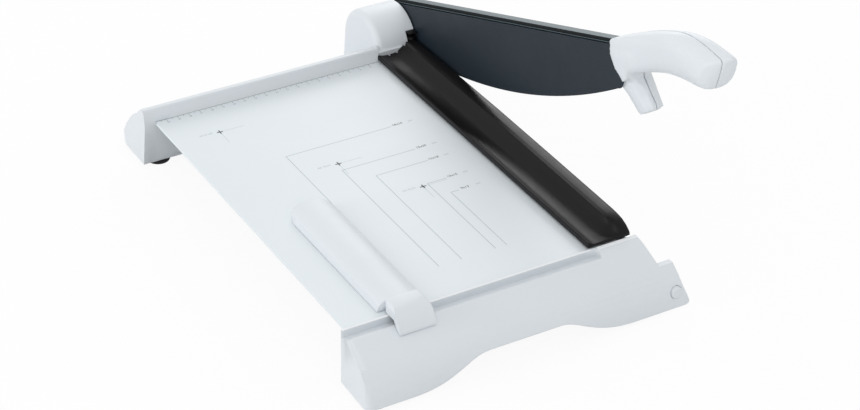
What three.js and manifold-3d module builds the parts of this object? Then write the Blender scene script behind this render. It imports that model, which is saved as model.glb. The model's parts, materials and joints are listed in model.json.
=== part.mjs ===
// Paper cutter: a lever guillotine with a clamp bar that follows the arm and a sliding paper stop.
// Millimetres, +Z up. X runs right towards the cut, the user stands at -Y.
// Every piece but the arm is drawn where it lies, with the cut in the plane x = 0 and the pivot above y = 0.

import * as THREE from 'three';
import { mergeVertices } from 'three/addons/utils/BufferGeometryUtils.js';
import Module from 'manifold-3d';

const wasm = await Module();
wasm.setup();

// Driving dimensions
const TABLE_WIDTH = 250;
const TABLE_DEPTH = 332;
const TABLE_TOP = 50;
const PIVOT_HEIGHT = 48.1;
const HUB_RADIUS = 33;
const FOOT_HEIGHT = 4;
const REST_ANGLE = 20.1;
const FIT = 0.3;
const RUN = 0.3;
const OVERRUN = 20;
const WELD = 0.01;
const ARC_STEPS = 8;
const ROUND_STEPS = 20;
const PANEL_STEPS = 14;

// Table sheet
const SHEET = 1.5;
const RIM_DEPTH = 6;
const RIM_RADIUS = 1.4;
const BRACE_WIDTH = 32;
const BRACE_DEPTH = 12;
const BRACE_SHEET = 1.2;
const BRACE_FLANGE = 8;
const BRACE_END_GAP = 24;

// Lower knife and the beam that carries it
const SHEAR_GAP = 0.15;
const KNIFE_WIDTH = 12;
const KNIFE_HEIGHT = 6;
const KNIFE_LAND = 3;
const KNIFE_RELIEF = 1.35;
const KNIFE_SCREWS = 4;
const KNIFE_SCREW_INSET = 30;
const BEAM_WIDTH = 32.5;
const BEAM_DEPTH = 32.5;
const BEAM_WALL = 2.5;
const BEAM_REAR = -22;
const BEAM_FRONT_GAP = 0.3;

// Mouldings at the back
const WALL = 2.6;
const FENCE_HEIGHT = 12.5;
const FENCE_TOP = 5;
const FENCE_EDGE = 1.5;
const HOUSING_DEPTH = 71;
const HOUSING_LEAN = 12;
const HOUSING_LEFT = 10;
const HOUSING_END_DRAFT = 3;
const HOUSING_END_CURVE = 10.5;
const COVER_WIDTH = 38;
const COVER_GAP = 1;
const COVER_FILLET = 6;
const COVER_FOOT_FLARE = 5;
const COVER_SILL = 8.2;
const RIB = 2;
const LEDGE_DEPTH = 13;
const LEDGE_THICK = 2.5;
const LEDGE_END_GAP = 12;
const HOUSING_RIBS = 4;
const HOUSING_RIB_LOW = 14;

// Moulding at the front
const PANEL_DEPTH = 42;
const PANEL_RISE = 1.5;
const PANEL_LEFT = 2.7;
const PANEL_DRAFT = 2.2;
const PANEL_RIGHT = 3;
const PANEL_RIGHT_DRAFT = 5.5;
const PANEL_CORNER = 7;
const PANEL_DECK = 8.7;
const PANEL_RIBS = 4;
const SLOT_FRONT = 9;
const SLOT_WIDTH = 7.5;
const SLOT_DEPTH = 6.7;
const SLOT_END = 33;
const ARCH_LEFT = 215;
const ARCH_FLAT_LEFT = 150;
const ARCH_FLAT_RIGHT = 88;
const ARCH_RIGHT = 22;
const ARCH_HEIGHT = 18;
const SKIRT_REACH = 28;
const SKIRT_TOP = 37;
const SKIRT_CORNER = 5;
const PLUG_RADIUS = 5;
const PLUG_X = 15.6;
const PLUG_HEIGHT = 18;
const PLUG_LENGTH = 7;
const PLUG_PROUD = 0.8;
const TONGUE_LENGTH = 24;
const TONGUE_HEIGHT = 20;
const TONGUE_DROP = 4;

// Feet and screws
const FOOT_RADIUS = 10;
const FOOT_EDGE = 1.2;
const FOOT_STEM = 3;
const FOOT_STEM_LENGTH = 9;
const BOSS_RADIUS = 11;
const REAR_LEFT_FOOT_INSET = 10;
const REAR_LEFT_FOOT_Y = -12;
const REAR_RIGHT_FOOT_X = -20;
const FRONT_LEFT_FOOT_INSET = 12;
const FRONT_RIGHT_FOOT_X = -14;
const FRONT_FOOT_INSET = 22;
const SCREW_RADIUS = 2;
const SCREW_HEAD = 3.6;
const SCREW_HEAD_HEIGHT = 2;
const KNIFE_SCREW_LENGTH = 5.5;

// Pivot
const BOLT_RADIUS = 5;
const BOLT_HEAD_RADIUS = 9;
const BOLT_HEAD_HEIGHT = 5;
const BRACKET_THICK = 5;
const BRACKET_GAP = 4;
const BRACKET_RADIUS = 22;
const BRACKET_TONGUE_LENGTH = 76;
const BRACKET_TONGUE_LOW = 18;
const BRACKET_TONGUE_HIGH = 36.5;
const BRACKET_SCREW_PITCH = 26;
const BRACKET_SCREW_INSET = 10;
const BUSH_RADIUS = 8;
const BUSH_FLANGE_RADIUS = 12;
const BUSH_FLANGE = 1.4;
const WASHER_RADIUS = 12.5;
const WASHER_GAP = 0.2;
const COVER_BORE = 15;
const DISC_SPRING_RADIUS = 11;
const DISC_SPRING_RISE = 1.4;
const DISC_SPRING_THICK = 1;
const NUT_ACROSS = 16;
const NUT_HEIGHT = 7;
const NUT_COLLAR = 2.5;
const BOLT_END = 2;

// Clamp bar
const CLAMP_WIDTH = 38.3;
const CLAMP_INSET = 2;
const CLAMP_GAP = 2.2;
const CLAMP_LIP = 4.3;
const CLAMP_FLOOR = 2.4;
const CLAMP_RIDGE = 12.8;
const CLAMP_RIDGE_TOP = 12.5;
const CLAMP_RIDGE_FOOT = 25;
const CLAMP_REAR_GAP = 0.6;
const CLAMP_NOSE = 24;
const CLAMP_TEETH = 3;
const CLAMP_TOOTH = 2.6;
const CLAMP_TOOTH_FIRST = 11;
const CLAMP_TOOTH_LAST = 26;
const CLAMP_FRONT_GAP = 0.6;
const CLAMP_PIN_RADIUS = 2.2;
const CLAMP_PIN_LENGTH = 17;
const FRONT_PIN_X = -24;
const FRONT_PIN_INSET = 7;
const REAR_PIN_X = -5.4;
const REAR_PIN_Y = -28;
const EAR_WIDTH = 6.6;
const EAR_TOP = 64;
const EAR_FRONT = 31.4;
const EAR_REACH = 24;
const STRIP_WIDTH = 9;
const STRIP_THICK = 1.8;
const STRIP_PROUD = 0.35;
const STRIP_INSET = 3;

// Blade and arm, along the arm (u) and up from it (w)
const BLADE_THICK = 2;
const BLADE_TOP = 30.4;
const BLADE_LENGTH = 362.5;
const EDGE_RADIUS = 735;
const EDGE_LOWEST_U = 170;
const EDGE_LOWEST_W = -27.2;
const EDGE_GRIND = 3;
const BLADE_CORNER = 8;
const ARM_WIDTH = 16;
const ARM_WEB = 4;
const ARM_RIM = 3;
const ARM_HUB_RADIUS = 26;
const ARM_HUB_WIDTH = 12;
const ARM_LOW = 2;
const ARM_CROWN = 2.9;
const ARM_GROOVE = 1.3;
const ARM_LAP = 7;
const ARM_BAYS = 5;
const ARM_BRACE = 2.4;
const TANG_LENGTH = 78;
const TANG_HIGH = 32.5;
const TANG_LOW = 20;
const TANG_RAMP = 26;
const TANG_STEP = 6.5;
const BLADE_SCREWS = 4;
const BLADE_SCREW_FIRST = 55;
const BLADE_SCREW_END = 37.5;
const BLADE_SCREW_W = 16;
const CAP_RADIUS = 14;
const CAP_THICK = 2;

// Handle, along the arm and up from it
const HANDLE_LAP = 11.5;
const HANDLE_LENGTH = 139;
const HANDLE_PARTING = 14.5;
const HANDLE_WALL = 2.6;
const HANDLE_HEIGHT = 45;
const HANDLE_WIDTH = 24;
const LEG_LEFT = 9;
const LEG_RIGHT = 20.5;
const LEG_EDGE = 4;
const LEG_BACK = 7;
const LEG_SPAN = 38;
const LEG_LOW = -25.7;
const LEG_TOP = 24;
const LEG_SPREAD = 10.2;
const LEG_SPREAD_LOW = -7;
const LEG_SPREAD_HIGH = 12;
const TIP_INSET = 13;
const TIP_W = 25;
const TIP_EDGE = 2.5;
const HANDLE_FILLET = 5;
const TIP_BLEND = 9;
const HANDLE_GRAIN = 2.4;
const HANDLE_INNER_GRAIN = 4.8;
const HANDLE_SKIN = 0.16;
const CHEEK_LOW = 3;
const CHEEK_LAP = 1;
const HANDLE_SCREW_FIRST = 33;
const HANDLE_SCREW_PITCH = 37;
const HANDLE_SCREW_W = 24;
const HANDLE_BOSS = 4.4;
const HANDLE_SCREW_DEPTH = 15;

// Paper stop
const STOP_LEFT = 30;
const STOP_RIGHT = 70;
const STOP_LENGTH = 153;
const STOP_HEIGHT = 9.5;
const STOP_EDGE = 5;
const STOP_LIFT = 0.4;
const STOP_END_RADIUS = 14;
const HEAD_WIDTH = 30;
const HEAD_LEFT = 35;
const HEAD_REAR = 7;
const HEAD_LENGTH = 26;
const HEAD_TOP = 12;
const HEAD_ROUND = 5;
const HEAD_DROP = 9;
const SLIDER_LENGTH = 20;
const SLIDER_HEIGHT = 4.5;
const STOP_SCREW_LENGTH = 10;

// Shares of the outlines that follow a size
const tailShares = [[0.15, 0.85], [0.27, 0.76], [0.39, 0.64], [0.72, 0.24], [1, 0]];
const housingEndShares = [[0, 0.22], [0.03, 0.42], [0.16, 0.6], [0.45, 0.78], [1, 1]];
const panelFrontShares = [
  [0, 1], [0.19, 0.94], [0.43, 0.825], [0.67, 0.695], [0.86, 0.525], [0.975, 0.3], [1, 0],
];
const skirtShares = [[1, 0.09], [0.936, 0.235], [0.814, 0.476], [0.746, 0.685], [0.704, 0.895], [0.693, 1]];
const clampLengthShares = [0, 0.18, 0.45, 0.72, 1];
const clampRidgeShares = [0.81, 0.92, 1, 0.99, 0.95];
const noseLengthShares = [0, 0.3, 0.56, 0.76, 0.9, 1];
const noseRidgeShares = [0.95, 0.915, 0.83, 0.66, 0.45, 0.22];
const noseTopShares = [1, 0.98, 0.92, 0.78, 0.6, 0.48];
const clampTopShares = [[0, 0.8], [0.06, 0.91], [0.2, 0.97], [0.45, 1], [0.75, 0.99], [1, 0.95]];
const clampWallShares = [[0.12, 0.74], [0.26, 0.5], [0.44, 0.3], [0.68, 0.13], [1, 0]];
const handleStationShares = [0, 0.15, 0.3, 0.45, 0.6, 0.75, 0.87, 1];
const handleTopShares = [0.76, 0.845, 0.92, 0.965, 0.975, 0.91, 0.79, 0.645];
const handleLowShares = [0.18, 0.2, 0.24, 0.26, 0.21, 0.125, 0.14, 0.265];
const handleLeftShares = [0.655, 0.62, 0.54, 0.505, 0.5, 0.5, 0.485, 0.395];
const handleRightShares = [0.16, 0.29, 0.45, 0.49, 0.5, 0.495, 0.475, 0.415];
const rampShares = [0.55, 0.34, 0.24];
const tipShares = [[1.24, 0.41], [0.45, 0.7]];
const tipTopShares = [1.96, -1.7, 0.15];
const gripRoundness = [8, 4.5, 3, 2.7, 2.7, 2.7, 2.7, 2.7];
const FOOT_SHARE = 0.2;

// Side outline of the handle's leg, as shares of its span along the arm and of its height
const legShares = [
  [0, 0.64], [0.05, 0.44], [0.57, 0], [0.985, 0.1], [1, 0.165], [0.93, 0.265], [0.82, 0.38],
  [0.735, 0.51], [0.685, 0.6], [0.7, 0.7], [0.85, 0.8], [0.9, 1], [0.18, 1],
];
const SCREW_CROWN_SHARE = 0.7;
const HUB_EDGE_SHARE = 0.87;
const GRIND_SHARE = 0.62;
const braceShares = [0.72, 0.36];

const fenceY = -HUB_RADIUS;
const tableFrontY = fenceY - TABLE_DEPTH;
const panelFrontY = tableFrontY - PANEL_DEPTH;
const coverLeftX = -COVER_GAP - COVER_WIDTH;
const knifeLeftX = -KNIFE_WIDTH - SHEAR_GAP;
const beamRightX = -SHEAR_GAP - KNIFE_RELIEF;
const beamLeftX = beamRightX - BEAM_WIDTH;
const knifeSeat = TABLE_TOP - KNIFE_HEIGHT;
const sheetUnderside = TABLE_TOP - SHEET;
const beamFrontY = tableFrontY + BEAM_FRONT_GAP;
const deckUnderside = TABLE_TOP + PANEL_RISE - PANEL_DECK;
const clampRightX = -CLAMP_INSET;
const clampLeftX = clampRightX - CLAMP_WIDTH;
const clampLow = TABLE_TOP + CLAMP_GAP;
const clampRearY = fenceY - CLAMP_REAR_GAP;
const clampFrontY = tableFrontY + CLAMP_FRONT_GAP;
const bracketRightX = -BRACKET_GAP;
const bracketLeftX = bracketRightX - BRACKET_THICK;
const armFaceX = BLADE_THICK + FIT;
const armWebX = armFaceX + ARM_WEB;
const hubRightX = armFaceX + ARM_HUB_WIDTH;
const rearLeftFootX = -TABLE_WIDTH + REAR_LEFT_FOOT_INSET;
const frontLeftFootX = -TABLE_WIDTH + FRONT_LEFT_FOOT_INSET;
const frontFootY = panelFrontY + FRONT_FOOT_INSET;
const frontPinY = tableFrontY + FRONT_PIN_INSET;
const handleStart = BLADE_LENGTH - HANDLE_LAP;
const handleEnd = handleStart + HANDLE_LENGTH;
const armEnd = handleStart + ARM_LAP;
const handleScrewPlaces = [
  handleStart + HANDLE_SCREW_FIRST,
  handleStart + HANDLE_SCREW_FIRST + HANDLE_SCREW_PITCH,
];

// Colours and finishes
function finish(color, roughness, metalness = 0) {
  return new THREE.MeshStandardMaterial({ color, roughness, metalness });
}
const white = finish(0xe3e8ec, 0.45);
const tableWhite = finish(0xdfe7eb, 0.4, 0.1);
const black = finish(0x242326, 0.4);
const bladeSteel = finish(0x3a444b, 0.45, 0.5);
const castGrey = finish(0x4a555d, 0.5, 0.4);
const steel = finish(0xb9bdc0, 0.3, 0.9);
const zinc = finish(0x9aa0a4, 0.4, 0.8);
const bronze = finish(0xb08a4a, 0.4, 0.8);
const rubber = finish(0x1c1c1d, 0.85);

// Turns a closed geometry into a solid that can be joined and cut
function solid(geometry) {
  geometry.deleteAttribute('normal');
  geometry.deleteAttribute('uv');
  const merged = mergeVertices(geometry);
  const vertProperties = merged.attributes.position.array;
  const triVerts = new Uint32Array(merged.index.array);
  return new wasm.Manifold(new wasm.Mesh({ numProp: 3, vertProperties, triVerts }));
}

// Extrudes an outline along one axis: outlines are (y, z) along x, (x, z) along y and (x, y) along z
const BASES = {
  x: [[0, 1, 0], [0, 0, 1], [1, 0, 0]],
  y: [[1, 0, 0], [0, 0, 1], [0, -1, 0]],
  z: [[1, 0, 0], [0, 1, 0], [0, 0, 1]],
};
function along(axis, shape, from, to, steps = ARC_STEPS) {
  const listed = Array.isArray(shape);
  const outline = listed ? new THREE.Shape(shape.map(([a, b]) => new THREE.Vector2(a, b))) : shape;
  const options = { depth: to - from, bevelEnabled: false, curveSegments: steps };
  const geometry = new THREE.ExtrudeGeometry(outline, options);
  geometry.translate(0, 0, axis === 'y' ? -to : from);
  const basis = BASES[axis].map((direction) => new THREE.Vector3(...direction));
  geometry.applyMatrix4(new THREE.Matrix4().makeBasis(...basis));
  return solid(geometry);
}

function box(x0, x1, y0, y1, z0, z1) {
  return along('z', [[x0, y0], [x1, y0], [x1, y1], [x0, y1]], z0, z1);
}

// Rounded rectangle as an outline
function rounded(a0, a1, b0, b1, radius) {
  const shape = new THREE.Shape();
  const quarter = Math.PI / 2;
  shape.moveTo(a0 + radius, b0);
  shape.lineTo(a1 - radius, b0);
  shape.absarc(a1 - radius, b0 + radius, radius, -quarter, 0, false);
  shape.lineTo(a1, b1 - radius);
  shape.absarc(a1 - radius, b1 - radius, radius, 0, quarter, false);
  shape.lineTo(a0 + radius, b1);
  shape.absarc(a0 + radius, b1 - radius, radius, quarter, Math.PI, false);
  shape.lineTo(a0, b0 + radius);
  shape.absarc(a0 + radius, b0 + radius, radius, Math.PI, Math.PI + quarter, false);
  return shape;
}

// Turns a profile of (radius, height) points about an axis through (a, b)
function turned(axis, profile, a, b, steps = ROUND_STEPS) {
  const points = profile.map(([radius, height]) => new THREE.Vector2(radius, height));
  const geometry = new THREE.LatheGeometry(points, steps);
  if (axis !== 'y') geometry.rotateX(Math.PI / 2);
  if (axis === 'x') {
    geometry.applyMatrix4(new THREE.Matrix4().makeBasis(
      new THREE.Vector3(0, 1, 0), new THREE.Vector3(0, 0, 1), new THREE.Vector3(1, 0, 0)));
    geometry.translate(0, a, b);
  }
  if (axis === 'z') geometry.translate(a, b, 0);
  if (axis === 'y') geometry.translate(a, 0, b);
  return solid(geometry);
}

function rod(axis, radius, from, to, a, b, steps = ROUND_STEPS) {
  return turned(axis, [[0, from], [radius, from], [radius, to], [0, to]], a, b, steps);
}

// Skins a list of rings, each with the same number of points, into one closed solid
function loft(rings) {
  const count = rings[0].length;
  const positions = rings.flat().flatMap((point) => [point.x, point.y, point.z]);
  const faces = [];
  for (let ring = 0; ring + 1 < rings.length; ring += 1) {
    for (let i = 0; i < count; i += 1) {
      const next = (i + 1) % count;
      const near = ring * count;
      const far = near + count;
      faces.push(near + i, near + next, far + next, near + i, far + next, far + i);
    }
  }
  for (let i = 1; i + 1 < count; i += 1) {
    const last = (rings.length - 1) * count;
    faces.push(0, i + 1, i, last, last + i, last + i + 1);
  }
  const geometry = new THREE.BufferGeometry();
  geometry.setAttribute('position', new THREE.Float32BufferAttribute(positions, 3));
  geometry.setIndex(faces);
  return solid(geometry);
}

// Moves every edge of an outline, drawn anticlockwise, inwards by one distance
function inset(points, distance) {
  return points.map((point, i) => {
    const before = points[(i + points.length - 1) % points.length];
    const after = points[(i + 1) % points.length];
    const inward = ([a, b], [c, d]) => {
      const length = Math.hypot(c - a, d - b);
      return [(b - d) / length, (c - a) / length];
    };
    const [nx, ny] = inward(before, point);
    const [mx, my] = inward(point, after);
    const scale = distance / (1 + nx * mx + ny * my);
    return [point[0] + (nx + mx) * scale, point[1] + (ny + my) * scale];
  });
}

function piece(name, body, look, parent) {
  const { vertProperties, triVerts } = body.simplify(WELD).getMesh();
  const geometry = new THREE.BufferGeometry();
  geometry.setAttribute('position', new THREE.BufferAttribute(vertProperties, 3));
  geometry.setIndex(new THREE.BufferAttribute(triVerts, 1));
  geometry.computeVertexNormals();
  const mesh = new THREE.Mesh(geometry, look);
  mesh.name = name;
  parent.add(mesh);
}

function spread(count, from, to) {
  return Array.from({ length: count }, (_, i) => from + ((to - from) * i) / Math.max(1, count - 1));
}

// Pan head screw with its head resting on the plane `seat` and its shank running on past it
function screw(axis, seat, direction, length, a, b) {
  const head = seat - direction * SCREW_HEAD_HEIGHT;
  const tip = seat + direction * length;
  const crown = head + direction * SCREW_HEAD_HEIGHT / 4;
  const profile = [
    [0, head],
    [SCREW_HEAD * SCREW_CROWN_SHARE, head],
    [SCREW_HEAD, crown],
    [SCREW_HEAD, seat],
    [SCREW_RADIUS, seat],
    [SCREW_RADIUS, tip],
    [0, tip],
  ];
  const ordered = direction > 0 ? profile : profile.reverse();
  return turned(axis, ordered, a, b, ROUND_STEPS / 2 + 2);
}

function screwHole(axis, from, to, a, b) {
  return rod(axis, SCREW_RADIUS + FIT, from, to, a, b, ROUND_STEPS / 2 + 2);
}

// Folded sheet table with a rim down its left side
function tablePlate() {
  const left = -TABLE_WIDTH;
  const right = knifeLeftX - FIT;
  const rimFoot = TABLE_TOP - RIM_DEPTH;
  const section = new THREE.Shape();
  section.moveTo(right, TABLE_TOP);
  section.lineTo(left + RIM_RADIUS, TABLE_TOP);
  section.absarc(left + RIM_RADIUS, TABLE_TOP - RIM_RADIUS, RIM_RADIUS, Math.PI / 2, Math.PI, false);
  section.lineTo(left, rimFoot);
  section.lineTo(left + SHEET, rimFoot);
  section.lineTo(left + SHEET, sheetUnderside);
  section.lineTo(right, sheetUnderside);
  const sheet = along('y', section, tableFrontY + FIT, fenceY - FIT);
  const pinHole = rod('z', CLAMP_PIN_RADIUS + RUN, sheetUnderside - OVERRUN, TABLE_TOP + OVERRUN,
    FRONT_PIN_X, frontPinY);
  return sheet.subtract(pinHole);
}

// Hat-shaped channel under the sheet
function tableBrace(x) {
  const half = BRACE_WIDTH / 2;
  const low = sheetUnderside - BRACE_DEPTH;
  const section = [
    [x - half - BRACE_FLANGE, sheetUnderside],
    [x - half - BRACE_FLANGE, sheetUnderside - BRACE_SHEET],
    [x - half, sheetUnderside - BRACE_SHEET],
    [x - half, low],
    [x + half, low],
    [x + half, sheetUnderside - BRACE_SHEET],
    [x + half + BRACE_FLANGE, sheetUnderside - BRACE_SHEET],
    [x + half + BRACE_FLANGE, sheetUnderside],
    [x + half - BRACE_SHEET, sheetUnderside],
    [x + half - BRACE_SHEET, low + BRACE_SHEET],
    [x - half + BRACE_SHEET, low + BRACE_SHEET],
    [x - half + BRACE_SHEET, sheetUnderside],
  ];
  return along('y', section, tableFrontY + BRACE_END_GAP, fenceY - BRACE_END_GAP);
}

// Stepped channel under the right edge: the sheet lies on its high step and the knife on its low one
function sideBeam() {
  const low = sheetUnderside - BEAM_DEPTH;
  const stepX = knifeLeftX - FIT;
  const section = [
    [beamLeftX, low],
    [beamLeftX + BEAM_WALL, low],
    [beamLeftX + BEAM_WALL, sheetUnderside - BEAM_WALL],
    [stepX - BEAM_WALL, sheetUnderside - BEAM_WALL],
    [stepX - BEAM_WALL, knifeSeat - BEAM_WALL],
    [beamRightX - BEAM_WALL, knifeSeat - BEAM_WALL],
    [beamRightX - BEAM_WALL, low],
    [beamRightX, low],
    [beamRightX, knifeSeat],
    [stepX, knifeSeat],
    [stepX, sheetUnderside],
    [beamLeftX, sheetUnderside],
  ];
  let beam = along('y', section, beamFrontY, BEAM_REAR);
  for (const y of knifeScrewPlaces()) {
    beam = beam.subtract(screwHole('z', knifeSeat - OVERRUN, knifeSeat + OVERRUN, knifeScrewX(), y));
  }
  for (const y of bracketScrewPlaces()) {
    beam = beam.subtract(screwHole('x', beamRightX - BEAM_WALL - FIT, beamRightX + FIT, y, bracketScrewZ()));
  }
  for (const y of tongueScrewPlaces()) {
    beam = beam.subtract(screwHole('x', beamLeftX - FIT, beamLeftX + BEAM_WALL + FIT, y, tongueScrewZ()));
  }
  const pins = [[FRONT_PIN_X, frontPinY], [REAR_PIN_X, REAR_PIN_Y]];
  for (const [x, y] of pins) {
    beam = beam.subtract(rod('z', CLAMP_PIN_RADIUS + RUN, low, TABLE_TOP, x, y));
  }
  return beam;
}

function knifeScrewX() {
  return beamRightX - BEAM_WALL - SCREW_HEAD - FIT * 2;
}
function knifeScrewPlaces() {
  return spread(KNIFE_SCREWS, tableFrontY + KNIFE_SCREW_INSET, fenceY - KNIFE_SCREW_INSET);
}
function bracketScrewZ() {
  return (BRACKET_TONGUE_LOW + BRACKET_TONGUE_HIGH) / 2;
}
function bracketScrewPlaces() {
  const front = -BRACKET_TONGUE_LENGTH + BRACKET_SCREW_INSET;
  return [front, front + BRACKET_SCREW_PITCH];
}
function tongueScrewZ() {
  return sheetUnderside - BEAM_WALL - TONGUE_DROP - TONGUE_HEIGHT / 2;
}
function tongueScrewPlaces() {
  return [tableFrontY + TONGUE_LENGTH / 2];
}

function lowerKnife() {
  const section = [
    [knifeLeftX, knifeSeat],
    [-SHEAR_GAP - KNIFE_RELIEF, knifeSeat],
    [-SHEAR_GAP, TABLE_TOP - KNIFE_LAND],
    [-SHEAR_GAP, TABLE_TOP],
    [knifeLeftX, TABLE_TOP],
  ];
  let knife = along('y', section, tableFrontY + FIT, fenceY - FIT);
  for (const y of knifeScrewPlaces()) {
    const holeTop = knifeSeat + KNIFE_SCREW_LENGTH - BEAM_WALL + FIT;
    const hole = screwHole('z', knifeSeat - FIT, holeTop, knifeScrewX(), y);
    knife = knife.subtract(hole);
  }
  return knife;
}

// Side outline of the rear moulding, anticlockwise
function housingProfile(edge) {
  const top = TABLE_TOP + FENCE_HEIGHT;
  const tailStart = fenceY + FENCE_TOP;
  const tail = tailShares.map(([a, b]) => [
    tailStart + a * (HOUSING_DEPTH - FENCE_TOP),
    FOOT_HEIGHT + b * (top - FOOT_HEIGHT),
  ]);
  const corner = edge > 0 ? [[fenceY + edge, top], [fenceY, top - edge]] : [[fenceY, top]];
  return [
    [fenceY + HOUSING_LEAN, FOOT_HEIGHT],
    ...tail.reverse(),
    [tailStart, top],
    ...corner,
    [fenceY, sheetUnderside],
  ];
}

// Plan of the rear moulding's left end: it draws in towards the back
function housingPlan(distance) {
  const left = -TABLE_WIDTH - HOUSING_LEFT;
  const right = coverLeftX - FIT;
  const back = fenceY + HOUSING_DEPTH;
  const end = housingEndShares.map(([a, b]) => [
    left + distance + a * HOUSING_END_CURVE,
    fenceY + b * HOUSING_DEPTH,
  ]);
  return [
    [left + distance, fenceY - OVERRUN],
    [right, fenceY - OVERRUN],
    [right, back + OVERRUN],
    [left + distance + HOUSING_END_CURVE, back + OVERRUN],
    ...end.reverse(),
  ];
}

// The left end also leans in towards the foot
function housingEndCut(distance) {
  const left = -TABLE_WIDTH - HOUSING_LEFT + distance;
  const top = TABLE_TOP + FENCE_HEIGHT;
  const section = [
    [left, top + OVERRUN],
    [left, top],
    [left + HOUSING_END_DRAFT, FOOT_HEIGHT],
    [left + HOUSING_END_DRAFT, FOOT_HEIGHT - OVERRUN],
    [0, FOOT_HEIGHT - OVERRUN],
    [0, top + OVERRUN],
  ];
  return along('y', section, fenceY - OVERRUN, fenceY + HOUSING_DEPTH + OVERRUN);
}

function footBoss(x, y, top) {
  return rod('z', BOSS_RADIUS, FOOT_HEIGHT, top, x, y);
}
function footHole(x, y) {
  return rod('z', FOOT_STEM + FIT, FOOT_HEIGHT - FIT, FOOT_HEIGHT + FOOT_STEM_LENGTH + FIT, x, y);
}

function rearHousing() {
  const left = -TABLE_WIDTH - HOUSING_LEFT;
  const right = coverLeftX - FIT;
  const outer = along('x', housingProfile(FENCE_EDGE), left, right)
    .intersect(along('z', housingPlan(0), FOOT_HEIGHT - OVERRUN, TABLE_TOP + OVERRUN))
    .intersect(housingEndCut(0));
  const hollowProfile = inset(housingProfile(0), WALL);
  const [backLow, frontLow] = hollowProfile;
  const openFloor = [backLow, frontLow, [frontLow[0], 0], [backLow[0], 0]];
  const openPlan = housingPlan(WALL).map(([x, y]) => [x === right ? x + OVERRUN : x, y]);
  const openEnd = box(-OVERRUN - COVER_WIDTH, OVERRUN, fenceY, fenceY + HOUSING_DEPTH, 0, TABLE_TOP);
  const hollow = along('x', hollowProfile, left, right + OVERRUN)
    .add(along('x', openFloor, left, right + OVERRUN))
    .intersect(along('z', openPlan, -OVERRUN, TABLE_TOP + OVERRUN))
    .intersect(housingEndCut(WALL).add(openEnd));
  let ribs = footBoss(rearLeftFootX, REAR_LEFT_FOOT_Y, TABLE_TOP + FENCE_HEIGHT);
  for (const x of spread(HOUSING_RIBS, rearLeftFootX + LEDGE_END_GAP * 3, coverLeftX - LEDGE_END_GAP)) {
    ribs = ribs.add(box(x - RIB, x, fenceY, fenceY + HOUSING_DEPTH,
      HOUSING_RIB_LOW, TABLE_TOP + FENCE_HEIGHT));
  }
  const ledge = box(-TABLE_WIDTH + LEDGE_END_GAP, right, fenceY - LEDGE_DEPTH, fenceY + WALL,
    sheetUnderside - LEDGE_THICK, sheetUnderside);
  return outer.subtract(hollow).add(ribs.intersect(outer)).add(ledge)
    .subtract(footHole(rearLeftFootX, REAR_LEFT_FOOT_Y));
}

// Side outline of the drum with its skirts, anticlockwise
function drumProfile() {
  const steps = ARC_STEPS * 4;
  const arc = spread(steps + 1, 0, Math.PI).map((angle) => [
    HUB_RADIUS * Math.cos(angle),
    PIVOT_HEIGHT + HUB_RADIUS * Math.sin(angle),
  ]);
  return [
    [fenceY + HOUSING_LEAN, FOOT_HEIGHT],
    [HUB_RADIUS + COVER_FOOT_FLARE, FOOT_HEIGHT],
    ...arc,
  ];
}

// The drum's left edge is rounded, so its outline is drawn in step by step towards that end
function drumBody() {
  const profile = drumProfile();
  const rings = spread(ARC_STEPS, 0, Math.PI / 2).map((angle) => {
    const draw = COVER_FILLET * (1 - Math.sin(angle));
    const x = coverLeftX + COVER_FILLET * (1 - Math.cos(angle));
    return inset(profile, Math.max(draw, 0)).map(([y, z]) => new THREE.Vector3(x, y, z));
  });
  rings.push(profile.map(([y, z]) => new THREE.Vector3(-COVER_GAP, y, z)));
  return loft(rings);
}

function pivotCover() {
  const sill = box(coverLeftX, -COVER_GAP, fenceY, fenceY + HOUSING_DEPTH, 0, TABLE_TOP + COVER_SILL);
  const backY = fenceY + HOUSING_DEPTH + OVERRUN;
  const fence = along('x', housingProfile(FENCE_EDGE), coverLeftX, -COVER_GAP).intersect(sill);
  const outer = drumBody().add(fence)
    .subtract(box(coverLeftX - OVERRUN, OVERRUN, fenceY - OVERRUN, backY, -OVERRUN, FOOT_HEIGHT));
  const innerLeft = coverLeftX + WALL;
  const innerRight = -COVER_GAP - WALL;
  const drumInside = inset(drumProfile(), WALL);
  drumInside[0][1] = 0;
  drumInside[1][1] = 0;
  const hollow = along('x', drumInside, innerLeft, innerRight);
  const bore = rod('x', COVER_BORE, innerRight - FIT, OVERRUN, 0, PIVOT_HEIGHT, ROUND_STEPS * 2);
  const beamWay = box(beamLeftX - FIT, beamRightX + FIT, fenceY - OVERRUN, fenceY + HOUSING_LEAN + WALL + FIT,
    FOOT_HEIGHT + WALL * 3, sheetUnderside + FIT);
  const earWay = box(clampRightX - EAR_WIDTH - RUN * 2, OVERRUN, fenceY - OVERRUN, -EAR_REACH + RUN * 4,
    sheetUnderside, EAR_TOP + CLAMP_GAP * 2);
  const boss = footBoss(REAR_RIGHT_FOOT_X, 0, FOOT_HEIGHT + WALL * 5);
  const web = box(REAR_RIGHT_FOOT_X - RIB, REAR_RIGHT_FOOT_X + RIB, fenceY, HUB_RADIUS + COVER_FOOT_FLARE,
    FOOT_HEIGHT + WALL, FOOT_HEIGHT + WALL * 4);
  return outer.subtract(hollow)
    .add(boss.add(web).intersect(outer))
    .subtract(bore)
    .subtract(beamWay)
    .subtract(earWay)
    .subtract(footHole(REAR_RIGHT_FOOT_X, 0));
}

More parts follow.
